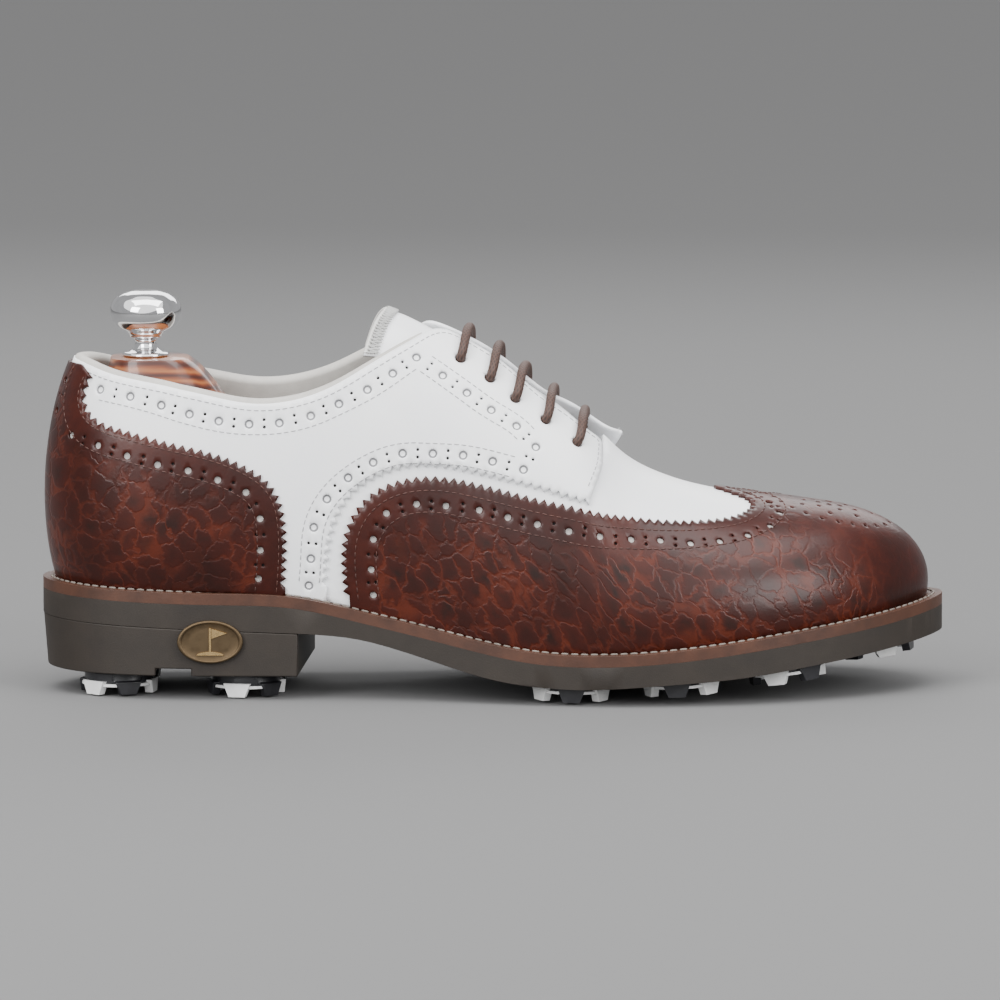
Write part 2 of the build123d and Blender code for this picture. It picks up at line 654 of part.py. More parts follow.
def make_lace():
    """One round lace along the whole route, as straight runs joined by arcs."""
    route = [Vector(*p) for p in lace_route()]
    radii = []
    for a, b, c in zip(route, route[1:], route[2:]):
        turn = (b - a).get_angle(c - b)
        run = min((b - a).length, (c - b).length)
        radii.append(max(min(0.45 * run / math.tan(math.radians(turn) / 2), 40.0), 0.1))
    print("lace radii", [round(r, 1) for r in radii])
    path = FilletPolyline(*route, radius=radii)
    ring = Plane(origin=path @ 0, z_dir=path % 0) * Circle(LACE_DIAMETER / 2)
    print("lace length", round(path.length, 1))
    return sweep(ring, path=path)


def dome_place(x, z, side):
    """Dome chart point of the side's surface point at x and height z, between the poles."""
    station = station_of(np.array([float(x)]), side)
    length = np.interp(station, LENGTH_STATIONS, LENGTH_TABLE)
    return float(x), -side * float(at_height(station, np.array([float(z)]))[0] * length[0])


def dome_sheet(foot_x, upper, inner_depth, outer_depth, columns=72, rows=15):
    """Sheet over the toe: from the feather line, behind foot_x on both sides, up to a curve."""
    lower = dome_foot(columns, foot_x, foot_x)
    return patch(lower, resample(upper, columns), inner_depth, outer_depth, dome_chart, rows, 0.2)


def both_sides(lateral, middle):
    """A dome curve from its lateral half, mirrored to the medial side."""
    return lateral + middle + [(x, -y) for x, y in reversed(lateral)]


# edges of the lateral half in the dome chart, from the feather line forwards and up to the crest
VAMP_EDGE = [
    (-66, -100), (-61, -90), (-47, -77), (-30, -67), (-13, -60), (4, -55), (18, -48.5), (27, -42), (33, -34),
    (36, -24), (37.2, -12),
]
WING_EDGE = [
    (-48.6, -109.6), (-49, -102.4), (-47.8, -95.4), (-43.8, -88.7), (-37, -82.9), (-28.6, -78.3), (-17, -73.7),
    (-6.6, -71.7), (3.5, -69.3), (17.4, -64.6), (31.2, -57.3), (43, -45.1), (58, -36.7), (70, -31.6),
    (79.5, -26.7), (86, -20.5), (88.2, -15), (87, -10), (83, -6), (79, -3),
]
VAMP_THROAT_X, WING_PEAK_X = 37.0, 75.5


def vamp_edge():
    """Upper edge of the vamp: up under the quarters and across the throat."""
    return both_sides(VAMP_EDGE, [(VAMP_THROAT_X, 0)])


def make_vamp():
    return dome_sheet(-67, vamp_edge(), BASE_INNER, BASE_OUTER)


def make_vamp_lining():
    return dome_sheet(-60, [(x + 0.8 * (abs(y) < 50), y) for x, y in vamp_edge()], LINING_INNER, LINING_OUTER)


def make_wing_cap():
    """Brown toe cap whose wings run back along both sides, with a peak on the crest."""
    return dome_sheet(-48.5, both_sides(WING_EDGE, [(WING_PEAK_X, 0)]), 0.0, LEATHER - 0.1)


def make_toe_puff():
    lateral = [dome_place(100, 34, 1), dome_place(101, 40, 1), (101, -30)]
    return dome_sheet(98, both_sides(lateral, [(100, -10), (100, 10)]), LINING_OUTER + 0.2, BASE_INNER - 0.2, 48)


def wall_band(x_front, low, high, inner_depth, outer_depth, columns=60, rows=9):
    """Sheet round the heel between two curves of height over x at the front and back."""
    front = float(station_of(x_front))
    station = np.linspace(-front, front, columns)
    lower = np.column_stack([station, 100 * low(station)])
    upper = np.column_stack([station, 100 * high(station)])
    return patch(lower, upper, inner_depth, outer_depth, wall_chart, rows)


def collar_level(station, drop=0.0):
    """Level of the top edge at each station round the heel, lowered by a drop."""
    heights = {}
    for side in (1, -1):
        lift = MEDIAL_RAISE if side < 0 else 0.0
        pairs = [(0, 111.4)] + COLLAR_BACK[1:]
        pairs += [(float(station_of(x)), z + lift * math.sin(math.pi * (x + 135) / 110)) for x, z in COLLAR_LATERAL]
        heights[side] = smooth(pairs)(np.abs(station))
    z = np.where(station >= 0, heights[1], heights[-1]) - drop
    return at_height(station, z)


def make_heel_counter_cover():
    """Brown outer counter that climbs to the collar in a strip over the heel seam."""
    edge = smooth([(0, 110.4), (8, 110.0), (14, 107.5), (17.5, 101), (21, 94.5), (28, 90.4), (42, 86.6),
                   (57, 83.6), (70, 80.2), (80, 75.2), (87, 68), (91, 58), (92.6, 47)])
    return wall_band(-69.5, lambda s: 1.03 + 0 * s, lambda s: at_height(s, edge(np.abs(s))),
                     OVERLAY_INNER, OVERLAY_OUTER, 90, 11)


def make_heel_stiffener():
    edge = smooth([(0, 88), (40, 86), (70, 72), (88, 52)])
    return wall_band(-75, lambda s: 1.03 + 0 * s, lambda s: at_height(s, edge(np.abs(s))),
                     LINING_OUTER + 0.05, BASE_OUTER)


def make_collar_padding():
    return wall_band(-44, lambda s: collar_level(s, 11.0), lambda s: collar_level(s, 1.0),
                     LINING_OUTER + 0.05, BASE_OUTER, 72, 5)


def make_quarter_lining():
    return wall_band(-68.5, lambda s: 1.03 + 0 * s, lambda s: collar_level(s), LINING_INNER, LINING_OUTER, 72, 13)


TONGUE_DEPTH = (-5.9, -3.95)


TONGUE_END = [(-43.5, -40), (-41.5, -32), (-39.5, -24), (-37, -14), (-35.3, -5)]   # lateral half, in the dome chart
TONGUE_TIP_X, TONGUE_ROOT_X, TONGUE_ROOT_HALF = -35.0, 46.0, 24.0


def make_tongue():
    """Long strip under the facings, from under the throat to above the ankle opening."""
    columns = 25
    across = np.linspace(TONGUE_ROOT_HALF, -TONGUE_ROOT_HALF, columns)
    root = np.column_stack([np.full(columns, TONGUE_ROOT_X), across])
    end = resample(np.array(both_sides(TONGUE_END, [(TONGUE_TIP_X, 0)]))[::-1], columns)
    return patch(root, end, TONGUE_DEPTH[0], TONGUE_DEPTH[1], dome_chart, 25)


# ---------------------------------------------------------------- shoe tree
def rounded_section(x, half_width, z0, z1, power=2.5):
    """Superellipse in a YZ plane."""
    angle = np.linspace(0, 2 * np.pi, 16, endpoint=False)
    c, s = np.cos(angle), np.sin(angle)
    y = float(crest_y(x)) + half_width * np.sign(c) * np.abs(c)**(2 / power)
    z = (z0 + z1) / 2 + (z1 - z0) / 2 * np.sign(s) * np.abs(s)**(2 / power)
    return make_face(Spline(*[(x, float(a), float(b)) for a, b in zip(y, z)], periodic=True))


def make_tree_forepart():
    """Cedar toe piece, split along its middle, with a fork for the tube's eye."""
    sections = [(2, 19, 29, 66), (25, 32, 22, 68), (55, 36, 21, 59), (85, 33, 24.5, 55), (108, 25, 28, 50.5),
                (126, 13, 32, 45)]
    body = loft([rounded_section(*row) for row in sections])
    body -= Box(100, 2.0, 80).moved(Location((90, 1.5, 45)))
    body -= Box(42, 13.2, 44).moved(Location((11, 0, TREE_AXIS_Z + 7)))
    pin = Cylinder(2.5, 60).moved(Location((TREE_PIVOT_X, 0, TREE_AXIS_Z), (90, 0, 0)))
    return body - pin


def lying(radius, x0, x1):
    """Cylinder along the tree's axis."""
    rod = Cylinder(radius, x1 - x0, align=(Align.CENTER, Align.CENTER, Align.MIN))
    return rod.moved(Location((x0, 0, TREE_AXIS_Z), (0, 90, 0)))


TUBE_BACK, TUBE_FRONT = -58.0, -8.0
ROD_BACK, ROD_FRONT = -112.0, -46.0


def make_tree_pin():
    return Cylinder(2.5, 34).moved(Location((TREE_PIVOT_X, 0, TREE_AXIS_Z), (90, 0, 0)))


def make_tree_eye():
    """Flat eye that turns on the pin, with a plug fixed in the tube."""
    eye = Box(36, 12.6, 15).moved(Location((TREE_PIVOT_X - 9, 0, TREE_AXIS_Z)))
    eye &= lying(11, TUBE_FRONT + 0.2, TREE_PIVOT_X + 7)
    bore = Cylinder(2.55, 40).moved(Location((TREE_PIVOT_X, 0, TREE_AXIS_Z), (90, 0, 0)))
    return eye + lying(TREE_BORE_RADIUS, TUBE_FRONT - 10, TUBE_FRONT + 1) - bore


def make_tree_tube():
    return lying(TREE_TUBE_RADIUS, TUBE_BACK, TUBE_FRONT) - lying(TREE_BORE_RADIUS, TUBE_BACK - 1, TUBE_FRONT + 1)


def make_tree_rod():
    return lying(TREE_BORE_RADIUS - 0.05, ROD_BACK, ROD_FRONT)


def make_tree_spring():
    """Compression spring in the tube, between the plug and the rod."""
    front, back = TUBE_FRONT - 10.4, ROD_FRONT + 0.4
    turns = 7
    path = Helix(pitch=(front - back - 1.4) / turns, height=front - back - 1.4, radius=5.2)
    coil = sweep(Plane(origin=path @ 0, z_dir=path % 0) * Circle(0.65), path=path)
    return coil.moved(Location((back + 0.7, 0, TREE_AXIS_Z), (0, 90, 0)))


def heel_piece_section(z, x_back, x_front, half_width, power=2.6):
    angle = np.linspace(0, 2 * np.pi, 20, endpoint=False)
    c, s = np.cos(angle), np.sin(angle)
    x = (x_back + x_front) / 2 + (x_front - x_back) / 2 * np.sign(c) * np.abs(c)**(2 / power)
    y = TREE_HEEL_Y + half_width * np.sign(s) * np.abs(s)**(2 / power)
    return make_face(Spline(*[(float(a), float(b), z) for a, b in zip(x, y)], periodic=True))


def make_tree_heel():
    """Cedar heel piece: rounded behind, sloping in front, flat on top."""
    sections = [(42, -133.5, -79, 16), (52, -138, -75, 18.6), (70, -138.6, -76, 19.2), (88, -136, -83, 18.8),
                (100, -132.4, -91.5, 17.4), (107, -130.0, -97, 15.8), (TREE_TOP_Z, -128.8, -102.5, 14.6)]
    body = loft([heel_piece_section(*row) for row in sections])
    body -= lying(TREE_BORE_RADIUS - 0.05, ROD_BACK, -60)
    return body - Cylinder(2.0, 22, align=(Align.CENTER, Align.CENTER, Align.MIN)).moved(Location((KNOB_X, 0, TREE_TOP_Z - 16)))


def make_knob():
    """Turned pull knob: flange, neck and flattened ball."""
    z = TREE_TOP_Z + 0.05
    profile = [(0, 0), (8.1, 0), (8.1, 1.3), (6.0, 2.0), (3.8, 3.4), (3.4, 5.4), (5.2, 7.6), (9.6, 9.6), (11.6, 12.4),
               (12.1, 15.2), (11.2, 18.2), (8.4, 20.9), (4.4, 22.2), (0, 22.5)]
    outline = Polyline(*[(r, 0, h) for r, h in profile], close=True)
    body = revolve(make_face(outline), axis=Axis.Z)
    body -= Cylinder(2.0, 8, align=(Align.CENTER, Align.CENTER, Align.MIN))
    return body.moved(Location((KNOB_X, 0, z)))


def make_knob_screw():
    return Cylinder(2.0, 21, align=(Align.CENTER, Align.CENTER, Align.MIN)).moved(Location((KNOB_X, 0, TREE_TOP_Z - 14)))


# ---------------------------------------------------------------- export
def export(name, shape):
    export_step(shape, f"parts/{name}.step")


def main():
    builders = {
        "outsole": make_outsole, "welt": make_welt, "insole_board": make_insole_board,
        "cork_filler": make_cork_filler, "shank": make_shank, "sock_liner": make_sock_liner,
        "heel_block": make_heel_block, "receptacles": make_receptacles, "heel_nails": make_heel_nails,
        "badge": make_badge, "vamp": make_vamp, "vamp_lining": make_vamp_lining,
        "wing_cap": make_wing_cap, "toe_puff": make_toe_puff,
        "heel_counter_cover": make_heel_counter_cover, "heel_stiffener": make_heel_stiffener,
        "collar_padding": make_collar_padding, "quarter_lining": make_quarter_lining,
        "quarter_lateral": lambda: make_quarter(1), "quarter_medial": lambda: make_quarter(-1),
        "tongue": make_tongue, "lace": make_lace, "tree_forepart": make_tree_forepart,
        "tree_pin": make_tree_pin, "tree_eye": make_tree_eye, "tree_tube": make_tree_tube,
        "tree_rod": make_tree_rod, "tree_spring": make_tree_spring, "tree_heel": make_tree_heel,
        "knob": make_knob, "knob_screw": make_knob_screw,
    }
    for name, build in builders.items():
        export(name, build())
    for name in CLEAT_NAMES:
        core, pale = make_cleat(name)
        export(f"cleat_{name}_core", core)
        export(f"cleat_{name}_legs", pale)


main()
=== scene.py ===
import json
import math

import bmesh
import bpy
import numpy as np
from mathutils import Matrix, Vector
from mathutils.geometry import delaunay_2d_cdt

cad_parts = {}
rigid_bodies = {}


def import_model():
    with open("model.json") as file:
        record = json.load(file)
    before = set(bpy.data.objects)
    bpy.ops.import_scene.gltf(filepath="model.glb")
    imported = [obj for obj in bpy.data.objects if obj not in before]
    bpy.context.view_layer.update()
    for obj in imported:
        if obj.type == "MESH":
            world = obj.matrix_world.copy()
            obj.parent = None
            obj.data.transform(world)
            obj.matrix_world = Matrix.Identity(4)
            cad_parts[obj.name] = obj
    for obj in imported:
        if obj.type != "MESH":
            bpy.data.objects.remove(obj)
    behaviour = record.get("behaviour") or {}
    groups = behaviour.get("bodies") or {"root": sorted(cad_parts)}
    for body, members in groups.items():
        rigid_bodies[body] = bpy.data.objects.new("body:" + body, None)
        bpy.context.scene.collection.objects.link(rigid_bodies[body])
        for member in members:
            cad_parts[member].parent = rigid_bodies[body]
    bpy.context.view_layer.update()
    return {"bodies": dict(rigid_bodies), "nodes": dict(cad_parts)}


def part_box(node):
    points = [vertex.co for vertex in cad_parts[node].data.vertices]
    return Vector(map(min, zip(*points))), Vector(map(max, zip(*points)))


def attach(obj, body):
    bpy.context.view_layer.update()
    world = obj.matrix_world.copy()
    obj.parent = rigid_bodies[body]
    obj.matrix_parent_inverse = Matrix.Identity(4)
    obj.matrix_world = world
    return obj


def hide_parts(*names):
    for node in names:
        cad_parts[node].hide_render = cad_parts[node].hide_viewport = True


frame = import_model()

# The looks of a right golf shoe with a shoe tree. The upper is worked out in millimetres, in the
# frame's axes (+X toe, +Y medial, +Z up), and written to meshes in metres.
MM = 0.001

# ---------------------------------------------------------------- camera, lights, floor
VIEW_CENTRE = (2.2, 0.0, 62.6)      # mm
VIEW_WIDTH = 337.4                  # mm across the picture
VIEW_DISTANCE = 3000.0              # mm
VIEW_ELEVATION = math.radians(7.0)
SENSOR = 36.0
FLOOR_HALF = 6.0                    # m


def make_camera():
    data = bpy.data.cameras.new("camera")
    data.sensor_width = SENSOR
    data.lens = SENSOR * VIEW_DISTANCE / VIEW_WIDTH
    data.clip_end = 20.0
    camera = bpy.data.objects.new("camera", data)
    away = Vector((0, -math.cos(VIEW_ELEVATION), math.sin(VIEW_ELEVATION)))
    camera.location = (Vector(VIEW_CENTRE) + away * VIEW_DISTANCE) * MM
    camera.rotation_euler = (-away).to_track_quat("-Z", "Y").to_euler()
    bpy.context.collection.objects.link(camera)
    bpy.context.scene.camera = camera


def area_light(name, place, size, power, aim=(0.0, 0.0, 0.06)):
    data = bpy.data.lights.new(name, "AREA")
    data.shape = "RECTANGLE"
    data.size, data.size_y = size
    data.energy = power
    light = bpy.data.objects.new(name, data)
    light.location = place
    light.rotation_euler = (Vector(aim) - Vector(place)).to_track_quat("-Z", "Y").to_euler()
    bpy.context.collection.objects.link(light)


def make_stage():
    world = bpy.data.worlds.new("studio")
    world.use_nodes = True
    world.node_tree.nodes["Background"].inputs["Color"].default_value = (0.62, 0.62, 0.63, 1)
    world.node_tree.nodes["Background"].inputs["Strength"].default_value = 0.72
    bpy.context.scene.world = world
    sun = bpy.data.lights.new("soft_sky", "SUN")
    sun.energy = 3.0
    sun.angle = math.radians(110)
    sky = bpy.data.objects.new("soft_sky", sun)
    sky.rotation_euler = (math.radians(32), math.radians(-8), 0)
    bpy.context.collection.objects.link(sky)
    area_light("overhead", (0.0, -0.25, 1.3), (1.6, 0.9), 21)
    area_light("front_left", (-0.9, -1.1, 0.75), (0.7, 0.9), 17)
    area_light("front_right", (1.0, -0.9, 0.55), (0.6, 0.8), 12)
    area_light("behind", (0.1, 1.2, 0.8), (1.4, 0.6), 9)
    mesh = bpy.data.meshes.new("floor")
    corners = [(x * FLOOR_HALF, y * FLOOR_HALF, 0) for x, y in ((-1, -1), (1, -1), (1, 1), (-1, 1))]
    mesh.from_pydata(corners, [], [(0, 1, 2, 3)])
    floor = bpy.data.objects.new("floor", mesh)
    floor.location.z = -0.0005
    bpy.context.collection.objects.link(floor)
    paint = bpy.data.materials.new("floor_paint")
    paint.use_nodes = True
    shader = paint.node_tree.nodes["Principled BSDF"]
    shader.inputs["Base Color"].default_value = (0.145, 0.145, 0.145, 1)
    shader.inputs["Roughness"].default_value = 0.95
    mesh.materials.append(paint)


make_camera()
make_stage()

# ---------------------------------------------------------------- the upper's surface, in mm
HEEL_POLE_X, TOE_POLE_X = -105.0, 112.0
HEEL_FAN, TOE_FAN = 57.0, 62.0
MIDDLE = TOE_POLE_X - HEEL_POLE_X
TOE_STATION = HEEL_FAN + MIDDLE + TOE_FAN
SEAM_GAP = 0.1
LEATHER = 1.3
VAMP_OUTER = -0.05
VAMP_INNER = -1.2
COVER_INNER, COVER_OUTER = LEATHER + 0.05, LEATHER + 1.15
LINING_INNER, LINING_OUTER = -3.7, -2.6
LACE_DIAMETER = 3.2
LACE_HOLE_RADIUS = 1.9
EYELET_X = {1: (27.2, 17.0, 6.9, -1.5, -11.3), -1: (29.3, 19.6, 10.6, 1.6, -8.2)}
EYELET_SPAN = (29.5, 28.0, 26.2, 23.6, 20.9)
LACE_UNDER_DEPTH, LACE_OVER_DEPTH = -2.1, 4.2
LACE_TAIL_OUT = {1: 4.6, -1: 2.2}
FACING_SPREAD = [(-20, 10.3), (-8, 11.6), (0, 13), (9, 16.5), (17, 19.2), (26, 20.3), (40, 20.6)]

SOLE_EDGE = [
    (-152, 0), (-147.8, -15), (-135.5, -27.5), (-115, -34.5), (-85, -36.5), (-50, -37.3),
    (-15, -42.5), (18, -50.2), (46, -53), (76, -50.4), (104, -41.5), (128, -27.5), (145, -9.5),
    (152, 8), (147.5, 24), (134, 37.5), (114, 46.5), (88, 51.8), (58, 53), (28, 49.4),
    (-6, 39.6), (-42, 32), (-78, 31.5), (-109, 33), (-132.5, 27.5), (-147.3, 14.5),
]
WELT_TOP_PROFILE = [
    (-155, 37.5), (-122, 36.1), (-90, 35.4), (-66, 34.2), (-45, 29.8), (-24, 25), (-3, 20.2),
    (12, 17.6), (30, 16.6), (50, 17.3), (82, 20.6), (106, 23.8), (129, 26.9), (156, 31.2),
]
CREST_PROFILE = [
    (-110, 139), (-80, 138.5), (-60, 136.8), (-37, 132.4), (-25, 127.3), (-17, 123.2), (-10, 119.8),
    (-3, 116), (7, 109.6), (17, 102.8), (24, 98), (30, 93), (35, 87.6), (38, 84), (44, 78.2),
    (51, 73.8), (57.5, 71), (64, 68.8), (75, 66.2), (84.5, 64.4), (98, 62.6), (105, 61.6), (116, 60),
]
CREST_SIDEWAYS = [(-115, 0), (-20, 0.5), (40, 1.5), (120, 5.5)]
FEATHER_MARGIN = [(-152, 6.8), (-110, 5.5), (-60, 4.4), (-10, 4.8), (50, 6.0), (110, 6.4), (152, 6.6)]
SECTION_BULGE = [(-148, .27), (-120, .26), (-80, .18), (-44, .12), (-10, .08), (38, .10), (148, .12)]
SECTION_RISE = [(-148, .35), (-80, .33), (-44, .38), (-10, .42), (38, .50), (75, .55), (148, .57)]
SECTION_CROWN = [(-148, .97), (-80, .82), (-44, .90), (-10, .95), (15, .90), (45, .72), (148, .62)]


def smooth(points):
    """Natural cubic spline through the points, as a function of their first coordinate."""
    x, y = np.array(points, float).T
    step = np.diff(x)
    matrix = np.eye(len(x))
    right = np.zeros(len(x))
    for i in range(1, len(x) - 1):
        matrix[i, i - 1:i + 2] = step[i - 1], 2 * (step[i - 1] + step[i]), step[i]
        right[i] = 6 * ((y[i + 1] - y[i]) / step[i] - (y[i] - y[i - 1]) / step[i - 1])
    bend = np.linalg.solve(matrix, right)

    def value(at):
        at = np.clip(np.asarray(at, float), x[0], x[-1])
        i = np.clip(np.searchsorted(x, at) - 1, 0, len(x) - 2)
        a, b, h = x[i + 1] - at, at - x[i], step[i]
        curve = (bend[i] * a**3 + bend[i + 1] * b**3) / (6 * h)
        return curve + (y[i] / h - bend[i] * h / 6) * a + (y[i + 1] / h - bend[i + 1] * h / 6) * b

    return value


def run_along(points):
    """Distance along a line of points, at each of them."""
    return np.concatenate([[0], np.cumsum(np.linalg.norm(np.diff(points, axis=0), axis=1))])


def pick(at, run, points):
    """Points at the given distances along a line."""
    return np.column_stack([np.interp(at, run, column) for column in np.asarray(points).T])


def closed_curve(points, count):
    """Evenly spaced points on a smooth closed curve through the given ones."""
    ring = np.array(points[-4:] + points + points[:5], float)
    along = run_along(ring)
    at = np.linspace(along[4], along[4 + len(points)], count, endpoint=False)
    return np.column_stack([smooth(np.column_stack([along, ring[:, k]]))(at) for k in (0, 1)])


def inward(ring, margin):
    """The ring of plan points moved towards the inside by a margin for each point."""
    ahead = np.roll(ring, -1, axis=0) - np.roll(ring, 1, axis=0)
    ahead /= np.linalg.norm(ahead, axis=1)[:, None]
    return ring + np.column_stack([-ahead[:, 1], ahead[:, 0]]) * np.reshape(margin, (-1, 1))


welt_top = smooth(WELT_TOP_PROFILE)
crest_z = smooth(CREST_PROFILE)
crest_y = smooth(CREST_SIDEWAYS)
bulge = smooth(SECTION_BULGE)
rise = smooth(SECTION_RISE)
crown = smooth(SECTION_CROWN)
facing_gap = smooth(FACING_SPREAD)
SOLE_RING = closed_curve(SOLE_EDGE, 2400)
FEATHER_RING = inward(SOLE_RING, smooth(FEATHER_MARGIN)(SOLE_RING[:, 0]))


def half_outline(side):
    """The feather line of one side as y over x; side is +1 on the lateral side."""
    half = FEATHER_RING[(FEATHER_RING[:, 1] < 0) == (side > 0)]
    half = half[np.argsort(half[:, 0])]
    return lambda x: np.interp(x, half[:, 0], half[:, 1])


LATERAL_FOOT, MEDIAL_FOOT = half_outline(1), half_outline(-1)


def fan_table(pole_x):
    """Angles and distances of the feather line about a pole, for looking up."""
    rel = FEATHER_RING - [pole_x, crest_y(pole_x)]
    around = np.unwrap(np.arctan2(rel[:, 1], rel[:, 0]))
    reach = np.linalg.norm(rel, axis=1)
    return np.concatenate([around - 2 * np.pi, around, around + 2 * np.pi]), np.tile(reach, 3)


HEEL_TABLE, TOE_TABLE = fan_table(HEEL_POLE_X), fan_table(TOE_POLE_X)


def spoke(station):
    """Crest point, plan direction, reach and foot x of the cross-section at each station."""
    station = (np.asarray(station, float) + TOE_STATION) % (2 * TOE_STATION) - TOE_STATION
    side = np.where(station >= 0, 1.0, -1.0)
    run = np.abs(station)
    heel_turn = np.clip(run / HEEL_FAN, 0, 1) * np.pi / 2
    toe_turn = np.clip((run - HEEL_FAN - MIDDLE) / TOE_FAN, 0, 1) * np.pi / 2
    crest_x = HEEL_POLE_X + np.clip(run - HEEL_FAN, 0, MIDDLE)
    dir_x = np.where(run < HEEL_FAN, -np.cos(heel_turn), np.sin(toe_turn))
    dir_y = -side * np.where(run < HEEL_FAN, np.sin(heel_turn), np.cos(toe_turn))
    foot_y = np.where(side > 0, LATERAL_FOOT(crest_x), MEDIAL_FOOT(crest_x))
    angle = np.arctan2(dir_y, dir_x)
    reach = np.abs(foot_y - crest_y(crest_x))
    reach = np.where(run < HEEL_FAN, np.interp(angle, *HEEL_TABLE), reach)
    reach = np.where(run > HEEL_FAN + MIDDLE, np.interp(angle, *TOE_TABLE), reach)
    return crest_x, dir_x, dir_y, reach


def base_surface(station, level):
    """Points of the reference surface: the outer face of the vamp, on which the quarters lie."""
    crest_x, dir_x, dir_y, reach = spoke(station)
    foot_x = crest_x + dir_x * reach
    foot_z = welt_top(foot_x)
    slope = (crest_z(crest_x + 0.5) - crest_z(crest_x - 0.5)) * dir_x * np.where(dir_x > 0, 1, 0)
    t = 1 - np.asarray(level, float)
    w0, w1, w2, w3 = (1 - t)**3, 3 * (1 - t)**2 * t, 3 * (1 - t) * t**2, t**3
    handle = crown(foot_x)
    out = w0 + w1 * (1 + bulge(foot_x)) + w2 * handle
    height = (crest_z(crest_x) - foot_z) * (w1 * rise(foot_x) + w2 + w3) + w2 * slope * handle * reach
    x = crest_x + dir_x * reach * out
    y = crest_y(crest_x) + dir_y * reach * out
    return np.stack([x, y, foot_z + height], axis=-1)


def surface_normal(station, level):
    safe = np.maximum(level, 0.03)
    along = base_surface(station + 0.4, safe) - base_surface(station - 0.4, safe)
    down = base_surface(station, safe + 0.004) - base_surface(station, safe - 0.004)
    normal = np.cross(down, along)
    return normal / np.linalg.norm(normal, axis=-1)[..., None]


def surface(station, level, depth):
    """Points at a depth outside (+) or inside (-) the reference surface."""
    depth = np.zeros_like(np.asarray(station, float)) + depth
    return base_surface(station, level) + surface_normal(station, level) * depth[..., None]


def solve_level(station, target, measure):
    """The level at which a measure that grows towards the foot reaches the target."""
    low, high = np.zeros_like(station), np.full_like(station, 1.08)
    for _ in range(24):
        mid = (low + high) / 2
        over = measure(station, mid) > target
        high, low = np.where(over, mid, high), np.where(over, low, mid)
    return (low + high) / 2


def at_height(station, z, depth=0.0):
    """Level at which the surface has the height z."""
    station = np.asarray(station, float)
    return solve_level(station, -np.asarray(z, float), lambda s, v: -surface(s, v, depth)[..., 2])


def beside_crest(station, distance):
    """Level at which the surface lies a plan distance to the side of the crest."""
    station = np.asarray(station, float)
    mid_y = crest_y(spoke(station)[0])
    return solve_level(station, distance, lambda s, v: np.abs(base_surface(s, v)[..., 1] - mid_y))


def foot_level(station, depth):
    """Level at which a sheet at this depth ends, just over the welt."""
    def sink(s, v):
        point = surface(s, v, depth)
        return welt_top(point[..., 0]) + SEAM_GAP - point[..., 2]
    return solve_level(station, 0.0, sink)


def station_of(x, side=1):
    return side * (HEEL_FAN + np.asarray(x, float) - HEEL_POLE_X)


STATION_GRID = np.linspace(-TOE_STATION, TOE_STATION, 700)
_levels = np.linspace(0, 1, 33)[:, None]
_spokes = base_surface(np.broadcast_to(STATION_GRID, (33, 700)), _levels + 0 * STATION_GRID)
LENGTH_TABLE = np.linalg.norm(np.diff(_spokes, axis=0), axis=-1).sum(axis=0)


def spoke_length(station):
    wrapped = (np.asarray(station, float) + TOE_STATION) % (2 * TOE_STATION) - TOE_STATION
    return np.interp(wrapped, STATION_GRID, LENGTH_TABLE)


# ---------------------------------------------------------------- charts: flat patterns of the upper
def wall_chart(q):
    """Sides and heel: (station, length up the cross-section from its foot)."""
    return q[..., 0], 1 - q[..., 1] / spoke_length(q[..., 0])


def dome_chart(q):
    """Vamp and toe: x along the crest and the length across it, medial positive."""
    x, y = q[..., 0], q[..., 1]
    past = np.maximum(x - TOE_POLE_X, 0)
    side = np.where(y <= 0, 1.0, -1.0)
    turn = np.arctan2(past, np.abs(y) + 1e-9)
    run = HEEL_FAN + np.minimum(x, TOE_POLE_X) - HEEL_POLE_X + turn / (np.pi / 2) * TOE_FAN
    station = side * np.minimum(run, TOE_STATION)
    return station, np.hypot(past, y) / spoke_length(station)


def place(chart, q, depth):
    """3-D points of chart points at a depth; sheets never reach below the welt."""
    station, level = chart(q)
    depth = np.zeros_like(station) + depth
    low = level > 0.93
    if np.any(low):
        level = level.copy()
        level[low] = np.minimum(level[low], foot_level(station[low], depth[low]))
    return surface(station, level, depth)


def frames(chart, q, ahead):
    """3-D unit vectors along a chart direction and to its left, with the maps back to the chart."""
    step = 0.05
    du = (place_free(chart, q + [step, 0]) - place_free(chart, q - [step, 0])) / (2 * step)
    dv = (place_free(chart, q + [0, step]) - place_free(chart, q - [0, step])) / (2 * step)
    normal = np.cross(du, dv)
    normal /= np.linalg.norm(normal, axis=-1)[..., None]
    along = du * ahead[..., :1] + dv * ahead[..., 1:]
    along /= np.linalg.norm(along, axis=-1)[..., None]
    left = np.cross(normal, along)
    uu, uv, vv = (du * du).sum(-1), (du * dv).sum(-1), (dv * dv).sum(-1)
    det = uu * vv - uv * uv

    def back(vector):
        a, b = (du * vector).sum(-1), (dv * vector).sum(-1)
        return np.stack([(vv * a - uv * b) / det, (uu * b - uv * a) / det], axis=-1)

    return along, left, back


def place_free(chart, q):
    station, level = chart(np.asarray(q, float))
    return base_surface(station, level)


def path(chart, points, step=0.4):
    """Chart points on a smooth curve through the given ones, evenly spaced on the shoe."""
    points = np.array(points, float)
    along = run_along(points)
    dense = np.linspace(0, along[-1], 1500)
    curve = np.column_stack([smooth(np.column_stack([along, points[:, k]]))(dense) for k in (0, 1)])
    return even(chart, curve, step)


def even(chart, curve, step):
    """The curve's points again, evenly spaced on the shoe."""
    run = run_along(place_free(chart, curve))
    return pick(np.linspace(0, run[-1], max(int(round(run[-1] / step)), 2) + 1), run, curve)


